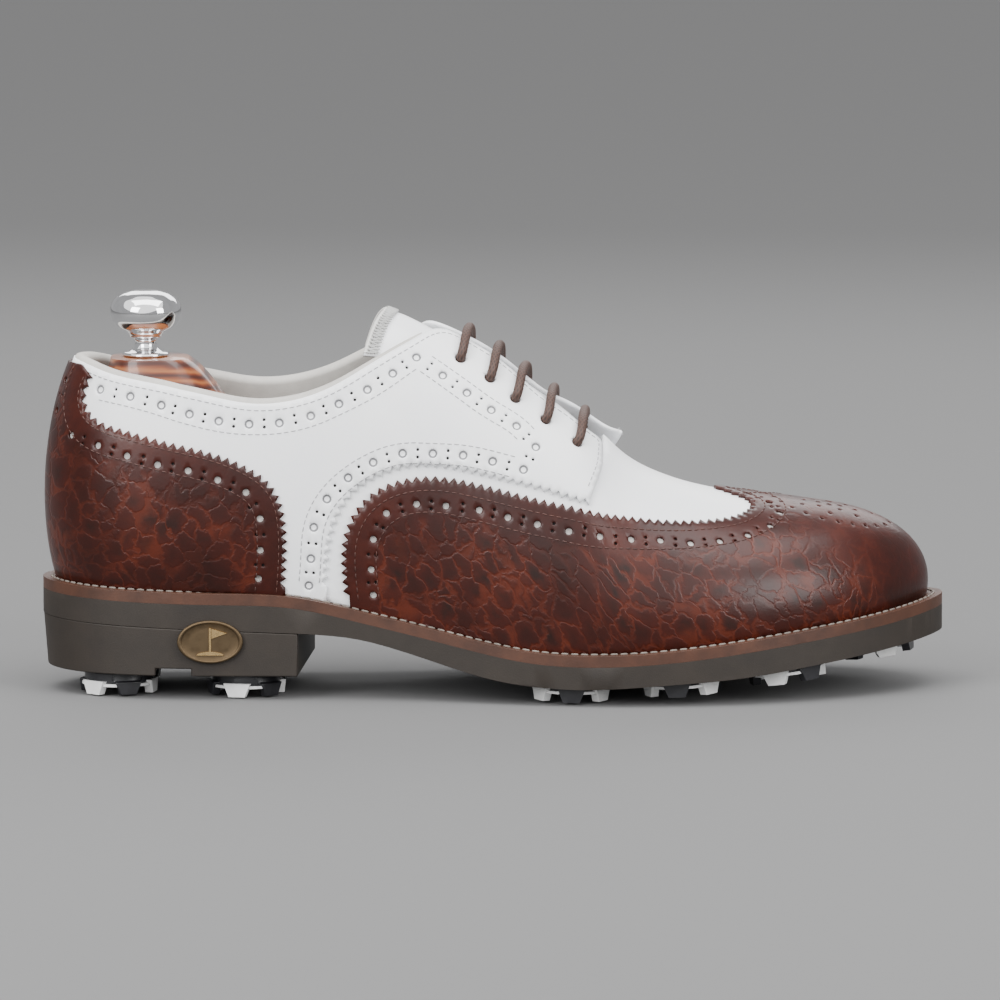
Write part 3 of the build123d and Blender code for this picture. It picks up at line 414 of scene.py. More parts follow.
def offset(chart, curve, distance):
    """The curve moved to its left on the shoe's surface."""
    ahead = np.gradient(curve, axis=0)
    _, left, back = frames(chart, curve, ahead)
    moved = curve + back(left) * np.reshape(distance, (-1, 1))
    kernel = np.ones(5) / 5
    ends = [np.repeat(moved[:1], 2, axis=0), moved, np.repeat(moved[-1:], 2, axis=0)]
    padded = np.concatenate(ends)
    return np.column_stack([np.convolve(padded[:, k], kernel, "valid") for k in (0, 1)])


def pinked(chart, curve, pitch=3.1, height=2.0):
    """Saw-toothed copy of a curve, its teeth on the right."""
    fine = even(chart, curve, pitch / 4)
    count = (len(fine) - 1) // 4 * 4
    fine = fine[:count + 1]
    tooth = np.tile([0.0, 0.5, 1.0, 0.5], count // 4 + 1)[:count + 1]
    ahead = np.gradient(fine, axis=0)
    _, left, back = frames(chart, fine, ahead)
    return fine - back(left) * (tooth * height)[:, None]


def brogue_holes(chart, large, big=1.55, small=0.55):
    """Holes as (chart point, radius): large ones at the given points, small pairs between them."""
    large = np.array(large, float)
    holes = [(q, big) for q in large]
    middles = (large[1:] + large[:-1]) / 2
    _, left, back = frames(chart, middles, large[1:] - large[:-1])
    for sign in (-1, 1):
        holes += [(q, small) for q in middles + back(left) * sign * 1.25]
    return holes


def ring(chart, centre, radius, count):
    """Chart outline of a round hole."""
    centre = np.asarray(centre, float)[None]
    along, left, back = frames(chart, centre, np.array([[1.0, 0.0]]))
    angle = np.linspace(0, 2 * np.pi, count, endpoint=False)[:, None]
    return centre + back(along * np.cos(angle) * radius + left * np.sin(angle) * radius)


def inside(polygon, q):
    """Which chart points lie inside a polygon."""
    hit = np.zeros(len(q), bool)
    x0, y0 = polygon.T
    x1, y1 = np.roll(polygon, -1, axis=0).T
    for a, b, c, d in zip(x0, y0, x1, y1):
        if b != d:
            crosses = ((b > q[:, 1]) != (d > q[:, 1])) & (q[:, 0] < (c - a) * (q[:, 1] - b) / (d - b) + a)
            hit ^= crosses
    return hit


# ---------------------------------------------------------------- meshes
def add_object(name, mesh):
    piece = bpy.data.objects.new(name, mesh)
    bpy.context.collection.objects.link(piece)
    return piece


def new_mesh(name, points, faces, smooth_faces=True):
    mesh = bpy.data.meshes.new(name)
    mesh.from_pydata((np.asarray(points) * MM).tolist(), [], [tuple(map(int, f)) for f in faces])
    if smooth_faces:
        mesh.polygons.foreach_set("use_smooth", np.ones(len(mesh.polygons), bool))
    mesh.update()
    return mesh


def grid_faces(rows, cols, closed=True):
    """Quads between the rows of a grid of points, whose rows may close on themselves."""
    return [(i * cols + k, i * cols + (k + 1) % cols, (i + 1) * cols + (k + 1) % cols, (i + 1) * cols + k)
            for i in range(rows - 1) for k in range(cols if closed else cols - 1)]


def set_values(mesh, name, values):
    """Stores one number per vertex as a named attribute."""
    layer = mesh.attributes.new(name, "FLOAT", "POINT")
    layer.data.foreach_set("value", np.asarray(values, np.float32))


def sheet(name, chart, outline, holes, inner, outer, spacing=1.3, quiet=None, edge_drop=0.2, lift=None):
    """Cut leather laid on the upper: an outline with holes, thickness and rounded edges."""
    outline = np.asarray(outline, float)
    loops = [outline]
    for centre, radius in holes:
        loops.append(ring(chart, centre, radius, 14 if radius > 1 else 8))
    low, high = outline.min(axis=0), outline.max(axis=0)
    gx = np.arange(low[0], high[0], spacing)
    gy = np.arange(low[1], high[1], spacing * 0.87)
    grid = np.array([(x + (spacing / 2 if j % 2 else 0), y) for j, y in enumerate(gy) for x in gx])
    grid = grid[inside(outline, grid)]
    rim = np.concatenate(loops)
    collars = [ring(chart, centre, radius + 0.35, 12 if radius > 1 else 8) for centre, radius in holes]
    if collars:
        around = np.concatenate(collars)
        around = around[inside(outline, around)]
    keep = np.ones(len(grid), bool)
    for start in range(0, len(rim), 400):
        part = rim[start:start + 400]
        gap = ((grid[:, None, :] - part[None]) ** 2).sum(-1).min(axis=1)
        keep &= gap > (0.55 * spacing) ** 2
    for centre, radius in holes:
        keep &= ((grid - centre) ** 2).sum(-1) > (radius + 0.7) ** 2
    points = np.concatenate([rim, grid[keep]] + ([around] if collars else []))
    edges, base = [], 0
    for loop in loops:
        n = len(loop)
        edges += [(base + k, base + (k + 1) % n) for k in range(n)]
        base += n
    verts, _, faces, origin, _, _ = delaunay_2d_cdt([Vector(p) for p in points], edges, [], 1, 1e-6)
    q = np.array([tuple(v) for v in verts])
    hole_of = np.full(len(points), -1)
    base = len(outline)
    for k, loop in enumerate(loops[1:]):
        hole_of[base:base + len(loop)] = k
        base += len(loop)
    tag = np.array([hole_of[o[0]] if o else -1 for o in origin])
    on_rim = np.array([bool(o) and o[0] < len(rim) for o in origin])
    faces = [f for f in faces if not (tag[f[0]] >= 0 and all(tag[i] == tag[f[0]] for i in f))]
    used = sorted({i for f in faces for i in f})
    renumber = {old: new for new, old in enumerate(used)}
    faces = np.array([[renumber[i] for i in f] for f in faces])
    q, on_rim = q[used], on_rim[used]
    raised = lift(q) if lift else np.zeros(len(q))
    top = place(chart, q, np.where(on_rim, outer - edge_drop, outer) + raised)
    bottom = place(chart, q, inner + raised)
    a, b, c = top[faces[:, 0]], top[faces[:, 1]], top[faces[:, 2]]
    station, level = chart(q)
    outward = surface_normal(station, level)[faces[:, 0]]
    turned = (np.cross(b - a, c - a) * outward).sum(-1) < 0
    faces[turned] = faces[turned][:, ::-1]
    count = len(q)
    sides = {}
    for f in faces:
        for i, j in ((f[0], f[1]), (f[1], f[2]), (f[2], f[0])):
            if (j, i) in sides:
                del sides[(j, i)]
            else:
                sides[(i, j)] = True
    walls = [(j, i, i + count, j + count) for i, j in sides]
    mesh = new_mesh(name, np.concatenate([top, bottom]),
                    faces.tolist() + (faces[:, ::-1] + count).tolist() + walls)
    if quiet:
        layer = mesh.attributes.new("chart", "FLOAT_VECTOR", "POINT")
        flat = np.column_stack([q, np.zeros(len(q))])
        layer.data.foreach_set("vector", np.concatenate([flat, flat]).astype(np.float32).ravel())
        set_values(mesh, "quiet", np.tile(quiet(q), 2))
    piece = add_object(name, mesh)
    return piece


def capsule_rows(name, starts, ends, radius, sides=6):
    """Many short threads, each a rounded bead between two points."""
    starts, ends = np.asarray(starts), np.asarray(ends)
    axis = ends - starts
    length = np.linalg.norm(axis, axis=1)[:, None]
    axis = axis / length
    helper = np.where(np.abs(axis[:, 2:]) < 0.9, [[0.0, 0, 1]], [[1.0, 0, 0]])
    u = np.cross(axis, helper)
    u /= np.linalg.norm(u, axis=1)[:, None]
    v = np.cross(axis, u)
    points, faces = [], []
    rows = ((0.0, 0.35), (0.12, 0.85), (0.5, 1.0), (0.88, 0.85), (1.0, 0.35))
    for share, width in rows:
        for k in range(sides):
            angle = 2 * math.pi * k / sides
            out = u * math.cos(angle) + v * math.sin(angle)
            points.append(starts + axis * length * share + out * radius * width)
    points = np.stack(points, axis=1)
    per = len(rows) * sides
    for n in range(len(starts)):
        base = n * per
        faces += [tuple(base + i for i in face) for face in grid_faces(len(rows), sides)]
        faces.append(tuple(base + k for k in reversed(range(sides))))
        faces.append(tuple(base + per - sides + k for k in range(sides)))
    return add_object(name, new_mesh(name, points.reshape(-1, 3), faces))


def stitch_ends(chart, curve, depth, length=1.7, gap=0.7, lift=None):
    """Start and end points of the stitches along a curve."""
    fine = even(chart, curve, 0.2)
    spots = place(chart, fine, depth + (lift(fine) if lift else np.zeros(len(fine))))
    run = run_along(spots)
    first = np.arange(0.4, run[-1] - length, length + gap)
    return pick(first, run, spots), pick(first + length, run, spots)


def tube(name, line, radius, sides=16, profile=None):
    """Round tube along a dense line of points; profile(run, angle) scales the radius."""
    line = np.asarray(line, float)
    ahead = np.gradient(line, axis=0)
    ahead /= np.linalg.norm(ahead, axis=1)[:, None]
    up = np.zeros_like(line)
    up[0] = np.cross(ahead[0], [0.3, 0.5, 0.8])
    up[0] /= np.linalg.norm(up[0])
    for k in range(1, len(line)):
        u = up[k - 1] - ahead[k] * np.dot(up[k - 1], ahead[k])
        up[k] = u / np.linalg.norm(u)
    side = np.cross(ahead, up)
    run = run_along(line)
    angle = np.linspace(0, 2 * np.pi, sides, endpoint=False)
    r = np.full((len(line), sides), radius)
    if profile:
        r = r * profile(run[:, None], angle[None, :])
    points = line[:, None] + r[..., None] * (up[:, None] * np.cos(angle)[None, :, None]
                                             + side[:, None] * np.sin(angle)[None, :, None])
    faces = grid_faces(len(line), sides)
    faces.append(tuple(reversed(range(sides))))
    last = (len(line) - 1) * sides
    faces.append(tuple(last + k for k in range(sides)))
    return add_object(name, new_mesh(name, points.reshape(-1, 3), faces))


# ---------------------------------------------------------------- materials
SWAY_SCALE = 0.22
SWAY_REACH = 7.5
SCALES_PER_MM = 0.155
CREASE_START, CREASE_END = 0.0, 0.11
MIDDLE_START, MIDDLE_END = 0.05, 0.60
LINE_SHARE = 0.6
SUNK = -0.5
MIDDLE_COLOR = (0.008, 0.0030, 0.0020)
CREASE_COLOR = (0.092, 0.015, 0.0045)
CEDAR_STRETCH = (16, 50, 90)
CEDAR_TURN = (0.2, 0.16, 0.1)
GROUND_STOPS = [(0.30, (0.015, 0.0026, 0.0013)), (0.52, (0.033, 0.0042, 0.0017)),
                (0.75, (0.056, 0.0080, 0.0027))]
# Lace colours set by the braid's relief: painted shade, dark in its grooves and lighter on its crests.
LACE_SHADE_STOPS = [(0.1, (0.013, 0.0062, 0.0045)), (0.6, (0.046, 0.022, 0.0155)), (1.0, (0.078, 0.038, 0.027))]
CEDAR_WAVE = {"Scale": 0.9, "Distortion": 7.5, "Detail": 4.0, "Detail Scale": 1.2}


class Paint:
    """A Principled material and the nodes that feed it."""

    def __init__(self, name, color, roughness, metallic=0.0):
        self.material = bpy.data.materials.new(name)
        self.material.use_nodes = True
        tree = self.material.node_tree
        self.nodes, self.link = tree.nodes, tree.links.new
        self.shader = self.nodes["Principled BSDF"].inputs
        self.shader["Base Color"].default_value = (*color, 1)
        self.shader["Roughness"].default_value = roughness
        self.shader["Metallic"].default_value = metallic

    def coat(self, weight, roughness):
        self.shader["Coat Weight"].default_value = weight
        self.shader["Coat Roughness"].default_value = roughness

    def feed(self, color=None, roughness=None):
        if color:
            self.link(color, self.shader["Base Color"])
        if roughness:
            self.link(roughness, self.shader["Roughness"])

    def value(self, name):
        """An attribute stored on the mesh."""
        node = self.nodes.new("ShaderNodeAttribute")
        node.attribute_name = name
        return node

    def coords(self, scale=None, turn=(0, 0, 0)):
        """The object's own coordinates, in metres, stretched where asked."""
        out = self.nodes.new("ShaderNodeTexCoord").outputs["Object"]
        if not scale:
            return out
        mapping = self.nodes.new("ShaderNodeMapping")
        mapping.inputs["Scale"].default_value = scale
        mapping.inputs["Rotation"].default_value = turn
        self.link(out, mapping.inputs["Vector"])
        return mapping.outputs["Vector"]

    def noise(self, scale, detail=4.0, rough=0.55, stretch=None, source=None, output="Fac"):
        texture = self.nodes.new("ShaderNodeTexNoise")
        texture.inputs["Scale"].default_value = scale
        texture.inputs["Detail"].default_value = detail
        texture.inputs["Roughness"].default_value = rough
        self.link(source or self.coords(stretch), texture.inputs["Vector"])
        return texture.outputs[output]

    def ramp(self, source, stops):
        node = self.nodes.new("ShaderNodeValToRGB")
        elements = node.color_ramp.elements
        while len(elements) < len(stops):
            elements.new(0.5)
        for element, (at, color) in zip(elements, stops):
            element.position = at
            element.color = (*color, 1)
        self.link(source, node.inputs["Fac"])
        return node.outputs["Color"]

    def spread(self, source, low, high, start=0.0, end=1.0, curve="LINEAR"):
        """The source mapped from start and end to low and high."""
        node = self.nodes.new("ShaderNodeMapRange")
        node.interpolation_type = curve
        for label, value in (("From Min", start), ("From Max", end), ("To Min", low), ("To Max", high)):
            node.inputs[label].default_value = value
        self.link(source, node.inputs["Value"])
        return node.outputs["Result"]

    def sums(self, operation, *values):
        """A Math node on sockets and numbers."""
        node = self.nodes.new("ShaderNodeMath")
        node.operation = operation
        for socket, value in zip(node.inputs, values):
            if isinstance(value, float):
                socket.default_value = value
            else:
                self.link(value, socket)
        return node.outputs["Value"]

    def product(self, *values):
        result = values[0]
        for value in values[1:]:
            result = self.sums("MULTIPLY", result, value)
        return result

    def mix(self, factor, first, second):
        """Blend of two colours, each a socket or a constant."""
        node = self.nodes.new("ShaderNodeMix")
        node.data_type = "RGBA"
        self.link(factor, node.inputs["Factor"])
        for socket, value in ((node.inputs[6], first), (node.inputs[7], second)):
            if isinstance(value, tuple):
                socket.default_value = (*value, 1)
            else:
                self.link(value, socket)
        return node.outputs[2]

    def bump(self, source, strength, distance):
        node = self.nodes.new("ShaderNodeBump")
        node.inputs["Strength"].default_value = strength
        node.inputs["Distance"].default_value = distance
        self.link(source, node.inputs["Height"])
        self.link(node.outputs["Normal"], self.shader["Normal"])
        return self.material


def white_leather():
    paint = Paint("white_leather", (0.84, 0.85, 0.86), 0.42)
    broad = paint.noise(40, 3)
    color = paint.ramp(broad, [(0.3, (0.88, 0.89, 0.91)), (0.7, (0.94, 0.945, 0.95))])
    paint.feed(color, paint.spread(broad, 0.34, 0.5))
    return paint.bump(paint.noise(900, 5, 0.6), 0.25, 0.0002)


def brown_leather():
    """Glazed calf embossed in scales: dark middles, rusty red ground and thin pale creases."""
    paint = Paint("brown_leather", (0.12, 0.035, 0.02), 0.28)
    chart = paint.value("chart").outputs["Vector"]
    sway = paint.noise(SWAY_SCALE, 3.0, 0.5, source=chart, output="Color")
    scaled = paint.nodes.new("ShaderNodeVectorMath")
    scaled.operation = "MULTIPLY_ADD"
    scaled.inputs[1].default_value = (SWAY_REACH, SWAY_REACH, 0.0)
    paint.link(sway, scaled.inputs[0])
    paint.link(chart, scaled.inputs[2])
    edge, core = (paint.nodes.new("ShaderNodeTexVoronoi") for _ in range(2))
    edge.feature = "DISTANCE_TO_EDGE"
    for cells in (edge, core):
        cells.inputs["Scale"].default_value = SCALES_PER_MM
        cells.inputs["Randomness"].default_value = 0.85
        paint.link(scaled.outputs["Vector"], cells.inputs["Vector"])
    crease = paint.spread(edge.outputs["Distance"], 1.0, 0.0, CREASE_START, CREASE_END, "SMOOTHSTEP")
    middle = paint.spread(core.outputs["Distance"], 1.0, 0.0, MIDDLE_START, MIDDLE_END, "SMOOTHSTEP")
    cloud = paint.noise(38, 5, 0.62)
    patch = paint.spread(cloud, 0.25, 1.0, 0.42, 0.60, "SMOOTHSTEP")
    plain = paint.spread(paint.value("quiet").outputs["Fac"], 1.0, 0.12, curve="SMOOTHSTEP")
    ground = paint.ramp(cloud, GROUND_STOPS)
    body = paint.mix(paint.product(middle, patch, plain, 0.85), ground, MIDDLE_COLOR)
    color = paint.mix(paint.product(crease, patch, plain, LINE_SHARE), body, CREASE_COLOR)
    paint.feed(color, paint.spread(cloud, 0.24, 0.42))
    paint.shader["Specular IOR Level"].default_value = 0.28
    paint.coat(0.1, 0.22)
    sunk = paint.product(crease, plain, SUNK)
    return paint.bump(paint.sums("MULTIPLY_ADD", paint.noise(900, 4, 0.65), 0.25, sunk), 0.45, 0.00035)


def plain_leather(name, dark, light, roughness):
    paint = Paint(name, dark, roughness)
    grain = paint.noise(1400, 3, 0.6)
    color = paint.ramp(paint.noise(120, 5, 0.6), [(0.3, dark), (0.7, light)])
    paint.feed(color, paint.spread(grain, roughness - 0.06, roughness + 0.08))
    return paint.bump(grain, 0.25, 0.0002)


def rubber(name, dark, light, roughness=0.62):
    paint = Paint(name, dark, roughness)
    grit = paint.noise(2500, 2, 0.5)
    color = paint.ramp(paint.noise(70, 6, 0.65), [(0.3, dark), (0.75, light)])
    paint.feed(color, paint.spread(grit, roughness - 0.08, roughness + 0.12))
    return paint.bump(grit, 0.35, 0.00015)


def cedar():
    """Varnished cedar: reddish brown with pale and dark growth stripes along the piece."""
    paint = Paint("cedar", (0.35, 0.10, 0.035), 0.3)
    wave = paint.nodes.new("ShaderNodeTexWave")
    for label, value in CEDAR_WAVE.items():
        wave.inputs[label].default_value = value
    wave.bands_direction = "Z"
    paint.link(paint.coords(CEDAR_STRETCH, CEDAR_TURN), wave.inputs["Vector"])
    pores = paint.noise(900, 3, 0.6, (0.08, 1, 1))
    color = paint.ramp(wave.outputs["Fac"], [(0.0, (0.045, 0.0075, 0.0025)), (0.45, (0.12, 0.024, 0.006)),
                                             (0.8, (0.21, 0.055, 0.013)), (1.0, (0.28, 0.090, 0.024))])
    paint.feed(color, paint.spread(pores, 0.22, 0.42))
    paint.coat(0.45, 0.06)
    return paint.bump(pores, 0.12, 0.0002)


def metal(name, color, roughness, scratch=600):
    paint = Paint(name, color, roughness, 1.0)
    wear = paint.noise(scratch, 4, 0.6)
    tint = tuple(c * 0.86 for c in color)
    paint.feed(paint.ramp(wear, [(0.25, tint), (0.7, color)]),
               paint.spread(wear, roughness * 0.6, roughness * 1.6))
    return paint.material


def plastic(name, dark, light, roughness):
    paint = Paint(name, dark, roughness)
    cloud = paint.noise(300, 4, 0.6)
    paint.feed(paint.ramp(cloud, [(0.3, dark), (0.7, light)]),
               paint.spread(cloud, roughness - 0.05, roughness + 0.1))
    return paint.bump(cloud, 0.1, 0.0002)


def woven():
    """Waxed cotton lace: the braid is in the mesh, and its colour is painted shade, dark in the grooves of
    the braid and lighter on its crests.
    """
    paint = Paint("lace_cotton", (0.07, 0.03, 0.025), 0.6)
    fuzz = paint.noise(2600, 3, 0.6)
    color = paint.ramp(paint.value("braid_groove_shade").outputs["Fac"], LACE_SHADE_STOPS)
    paint.feed(color, paint.spread(fuzz, 0.5, 0.75))
    return paint.bump(fuzz, 0.4, 0.0002)


PAINTS = {
    "white": white_leather(),
    "brown": brown_leather(),
    "lining": plain_leather("lining_leather", (0.46, 0.44, 0.41), (0.56, 0.54, 0.50), 0.72),
    "tongue_back": plain_leather("tongue_back", (0.60, 0.59, 0.56), (0.70, 0.69, 0.66), 0.7),
    "welt": plain_leather("welt_edge", (0.040, 0.0135, 0.006), (0.075, 0.026, 0.012), 0.5),
    "welt_top": plain_leather("welt_top", (0.50, 0.46, 0.42), (0.62, 0.58, 0.53), 0.6),
    "board": plain_leather("fibre_board", (0.30, 0.20, 0.12), (0.40, 0.29, 0.18), 0.8),
    "rubber": rubber("sole_rubber", (0.013, 0.0088, 0.0058), (0.023, 0.016, 0.0105)),
    "brass": metal("old_brass", (0.72, 0.50, 0.24), 0.24),
    "brass_dark": metal("dark_brass", (0.12, 0.085, 0.05), 0.5),
    "chrome": metal("polished_chrome", (0.86, 0.86, 0.87), 0.05, 300),
    "steel": metal("brushed_steel", (0.55, 0.55, 0.56), 0.3),
    "cedar": cedar(),
    "dark": plastic("cleat_dark", (0.010, 0.010, 0.012), (0.020, 0.020, 0.023), 0.32),
    "pale": plastic("cleat_pale", (0.74, 0.74, 0.73), (0.84, 0.84, 0.83), 0.35),
    # White thread painted grey: the grey is painted shade in the sunk stitches.
    "thread_white_shaded": plain_leather("white_thread_shaded", (0.30, 0.30, 0.31), (0.42, 0.42, 0.43), 0.55),
    "thread_brown": plain_leather("brown_thread", (0.035, 0.010, 0.007), (0.075, 0.022, 0.013), 0.5),
    "tongue_thread": plain_leather("overcast_thread", (0.34, 0.34, 0.33), (0.46, 0.46, 0.45), 0.6),
    # Welt thread painted dark brown-grey as the shade the upper casts along the welt.
    "thread_welt_in_shade": plain_leather("welt_thread_in_shade", (0.11, 0.09, 0.075), (0.20, 0.17, 0.145), 0.6),
    "thread_dark": plain_leather("dark_thread", (0.03, 0.028, 0.026), (0.07, 0.065, 0.06), 0.5),
    # Hole backings: the grey and near-black ones are painted shade inside the punched holes, and the mid grey
    # one is the white underlay painted in shade.
    "grey_hole_shade": plain_leather("hole_shade_disc", (0.16, 0.16, 0.17), (0.30, 0.30, 0.31), 0.7),
    "dark_pinhole_shade": plain_leather("pinhole_painted_shade", (0.012, 0.010, 0.010), (0.03, 0.026, 0.026), 0.8),
    "underlay_in_shade": plain_leather("hole_underlay_shaded", (0.36, 0.34, 0.32), (0.52, 0.50, 0.48), 0.7),
    "lace": woven(),
}


def finish_piece(piece, paint, body, replaces=()):
    piece.data.materials.clear()
    piece.data.materials.append(PAINTS[paint])
    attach(piece, body)
    if replaces:
        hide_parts(*replaces)
    return piece


# ---------------------------------------------------------------- pattern curves, (x, z) in mm
COLLAR = [
    (-114.2, 104.9), (-105.1, 103), (-96, 101.1), (-79.5, 98.3), (-65.3, 99.8), (-52.5, 104.6),
    (-44.4, 109.2), (-34, 115.2), (-26, 119.3), (-20.5, 121.2),
]
COLLAR_BACK = [(0, 111.2), (12, 110.3), (26, 107.6)]      # (station, z)
MEDIAL_RAISE = 2.0
STITCHES_FROM_EDGE = (2.9, 10.0)     # rows beside the punched holes of the brown leather
BAND_STITCHES = 3.4                  # from the middle of a hole chain of the white leather
QUARTER_FRONT = [
    (-55.6, 35.5), (-55.3, 42), (-54.6, 49), (-53, 56.5), (-49.8, 64), (-44.3, 70.4), (-37.2, 74.6),
    (-30, 77), (-22.5, 77.8), (-13.5, 77), (-3.2, 74.9), (7, 72.5), (17.5, 69.8), (27, 66.8), (31.5, 65.6),
]
WING_EDGE = [      # dome chart, lateral half from the welt to the peak
    (-47.8, -116.7), (-48.6, -109.6), (-49, -102.4), (-47.8, -95.4), (-43.8, -88.7), (-37, -82.9),
    (-28.6, -78.3), (-17, -73.7), (-6.6, -71.7), (3.5, -69.3), (17.4, -64.6), (31.2, -57.3), (43, -45.1),
    (58, -36.7), (70, -31.6), (79.5, -26.7), (86, -20.5), (88.2, -15), (87, -10), (83, -6), (79, -3),
    (75.5, 0),
]
VAMP_EDGE = [      # dome chart, lateral half
    (-66, -100), (-61, -90), (-47, -77), (-30, -67), (-13, -60), (4, -55), (18, -48.5), (27, -42), (33, -34),
    (36, -24), (37.2, -12),
]
COUNTER_EDGE = [
    (-69.6, 35.2), (-69, 43), (-68.7, 51), (-69.2, 60), (-70.8, 66.7), (-74.3, 72.3), (-80.5, 77),
    (-88.2, 80.6), (-97, 83.3), (-105.8, 85.3), (-113.9, 87.2), (-123, 89.6), (-130.5, 91.9),
]
COUNTER_STRIP = [(-134.4, 95.5), (-135.2, 100.5), (-133.2, 105.6)]
BAND = [      # wall chart points of the large holes: station, length up from the foot
    (24, 61), (36.2, 58.5), (49.5, 55.8), (60.6, 53.6), (70.4, 51.8), (80.5, 50.9), (90.6, 51.4),
    (101.1, 54.3), (110.5, 59.4), (120, 65.9), (128.4, 73.7), (136.2, 82.8),
]
FACING_BAND = [(145, 79.6), (153.1, 76.4), (161.2, 73.4), (169.6, 70.9), (176, 65.2), (172, 55.8)]
LOWER_BAND = [
    (161.8, 55.4), (152, 54.3), (141.9, 51.9), (131.8, 49.3), (122, 44.6), (113.6, 38.7), (106.5, 31.6),
    (102.1, 22.9), (101.1, 13.4), (100.4, 4.6),
]
COUNTER_HOLES = [
    (16.8, 47.1), (27.2, 44.4), (37.6, 41.5), (49.1, 39.2), (60.3, 37.9), (70.1, 35.5), (79.5, 32),
    (84.2, 24.5), (84.2, 15.1), (83.6, 5.8),
]
COUNTER_STRIP_HOLES = [(6.8, 63.5), (6.5, 53.9)]
WING_HOLES = [      # dome chart, lateral half
    (-40, -113.4), (-40.7, -105.7), (-40, -96.7), (-35.6, -88.5), (-25.5, -83.1), (-15.7, -80.2),
    (-4.6, -77.6), (4.9, -75.4), (14.7, -72.2), (25.1, -68.1), (35.3, -60), (45.7, -50.1),
    (55.5, -44.8), (65.6, -42), (75.4, -38.2), (84.9, -32.8), (92.6, -26.4), (96, -17.9),
    (92.6, -11.3), (86, -4.5),
]


def wall_point(x, z, side):
    """Wall chart point of the surface point at x and height z on one side."""
    low, high = np.zeros(1), station_of(np.array([max(float(x), HEEL_POLE_X)]))
    if x < HEEL_POLE_X:
        for _ in range(22):
            mid = (low + high) / 2
            spot = surface(side * mid, at_height(side * mid, np.array([float(z)])), 0.0)
            ahead = spot[:, 0] < x
            low, high = np.where(ahead, mid, low), np.where(ahead, high, mid)
    station = side * high
    level = at_height(station, np.array([float(z)]))
    return float(station[0]), float((1 - level[0]) * spoke_length(station)[0])


def wall_points(pairs, side, lift=None):
    return [wall_point(x, z + (lift(x) if lift else 0), side) for x, z in pairs]


def medial_lift(x):
    return MEDIAL_RAISE * math.sin(math.pi * min(max((x + 135) / 110, 0), 1))


def collar_path(side):
    """Top edge of one side in the wall chart, from the heel's back to the facing's top corner."""
    lift = medial_lift if side < 0 else None
    back = []
    for station, z in COLLAR_BACK:
        level = at_height(np.array([side * float(station)]), np.array([z]))[0]
        back.append((side * station, (1 - level) * float(spoke_length(side * station))))
    return back + wall_points(COLLAR, side, lift)


def facing_path(side):
    """Inner edge of one facing in the wall chart, from its top corner forwards."""
    x = np.array([-15.2, -8, 0, 9, 18, 26, 31.5 if side > 0 else 35.5])
    station = station_of(x, side)
    level = beside_crest(station, facing_gap(x))
    return list(zip(station, (1 - level) * spoke_length(station)))


def foot_path(first, last, step=2.0):
    """Wall chart points along the feather line between two stations."""
    station = np.arange(first, last, step if last > first else -step)
    return [(s, -1.5) for s in station]


def mirror_wall(points, side):
    """Lateral wall chart points as an array for either side, at the same share of the wall's height."""
    points = np.array(points, float)
    if side > 0:
        return points
    scale = spoke_length(-points[:, 0]) / spoke_length(points[:, 0])
    return np.column_stack([-points[:, 0], points[:, 1] * scale])


LOBE = {
    1: [(34.3, 84.6), (35.5, 81), (35.4, 77), (33.7, 72)],
    -1: [(38.3, 81), (39.5, 81), (39.4, 77), (36.1, 72)],
}


def lobe(side):
    """Front corner of the facing, rounded down to the quarter's lower edge."""
    return [wall_point(x, z, side) for x, z in LOBE[side]]


def eyelet_chart(side):
    station = station_of(np.array(EYELET_X[side]), side)
    level = beside_crest(station, np.array(EYELET_SPAN))
    return np.column_stack([station, (1 - level) * spoke_length(station)])


# ---------------------------------------------------------------- pieces of the upper
FACING_LIFT = {1: (34, 0.7), -1: (38, 5.0)}      # x of its middle and its height, per side
FACING_LIFT_Z, FACING_LIFT_REACH = 84, 24


def facing_lift(chart, q, side):
    """How far the front end of a facing stands off the vamp."""
    spots = place_free(chart, q)
    middle, height = FACING_LIFT[side]
    away = np.hypot(spots[:, 0] - middle, (spots[:, 2] - FACING_LIFT_Z) * 0.8)
    return np.clip(1 - away / FACING_LIFT_REACH, 0, 1)**1.3 * height


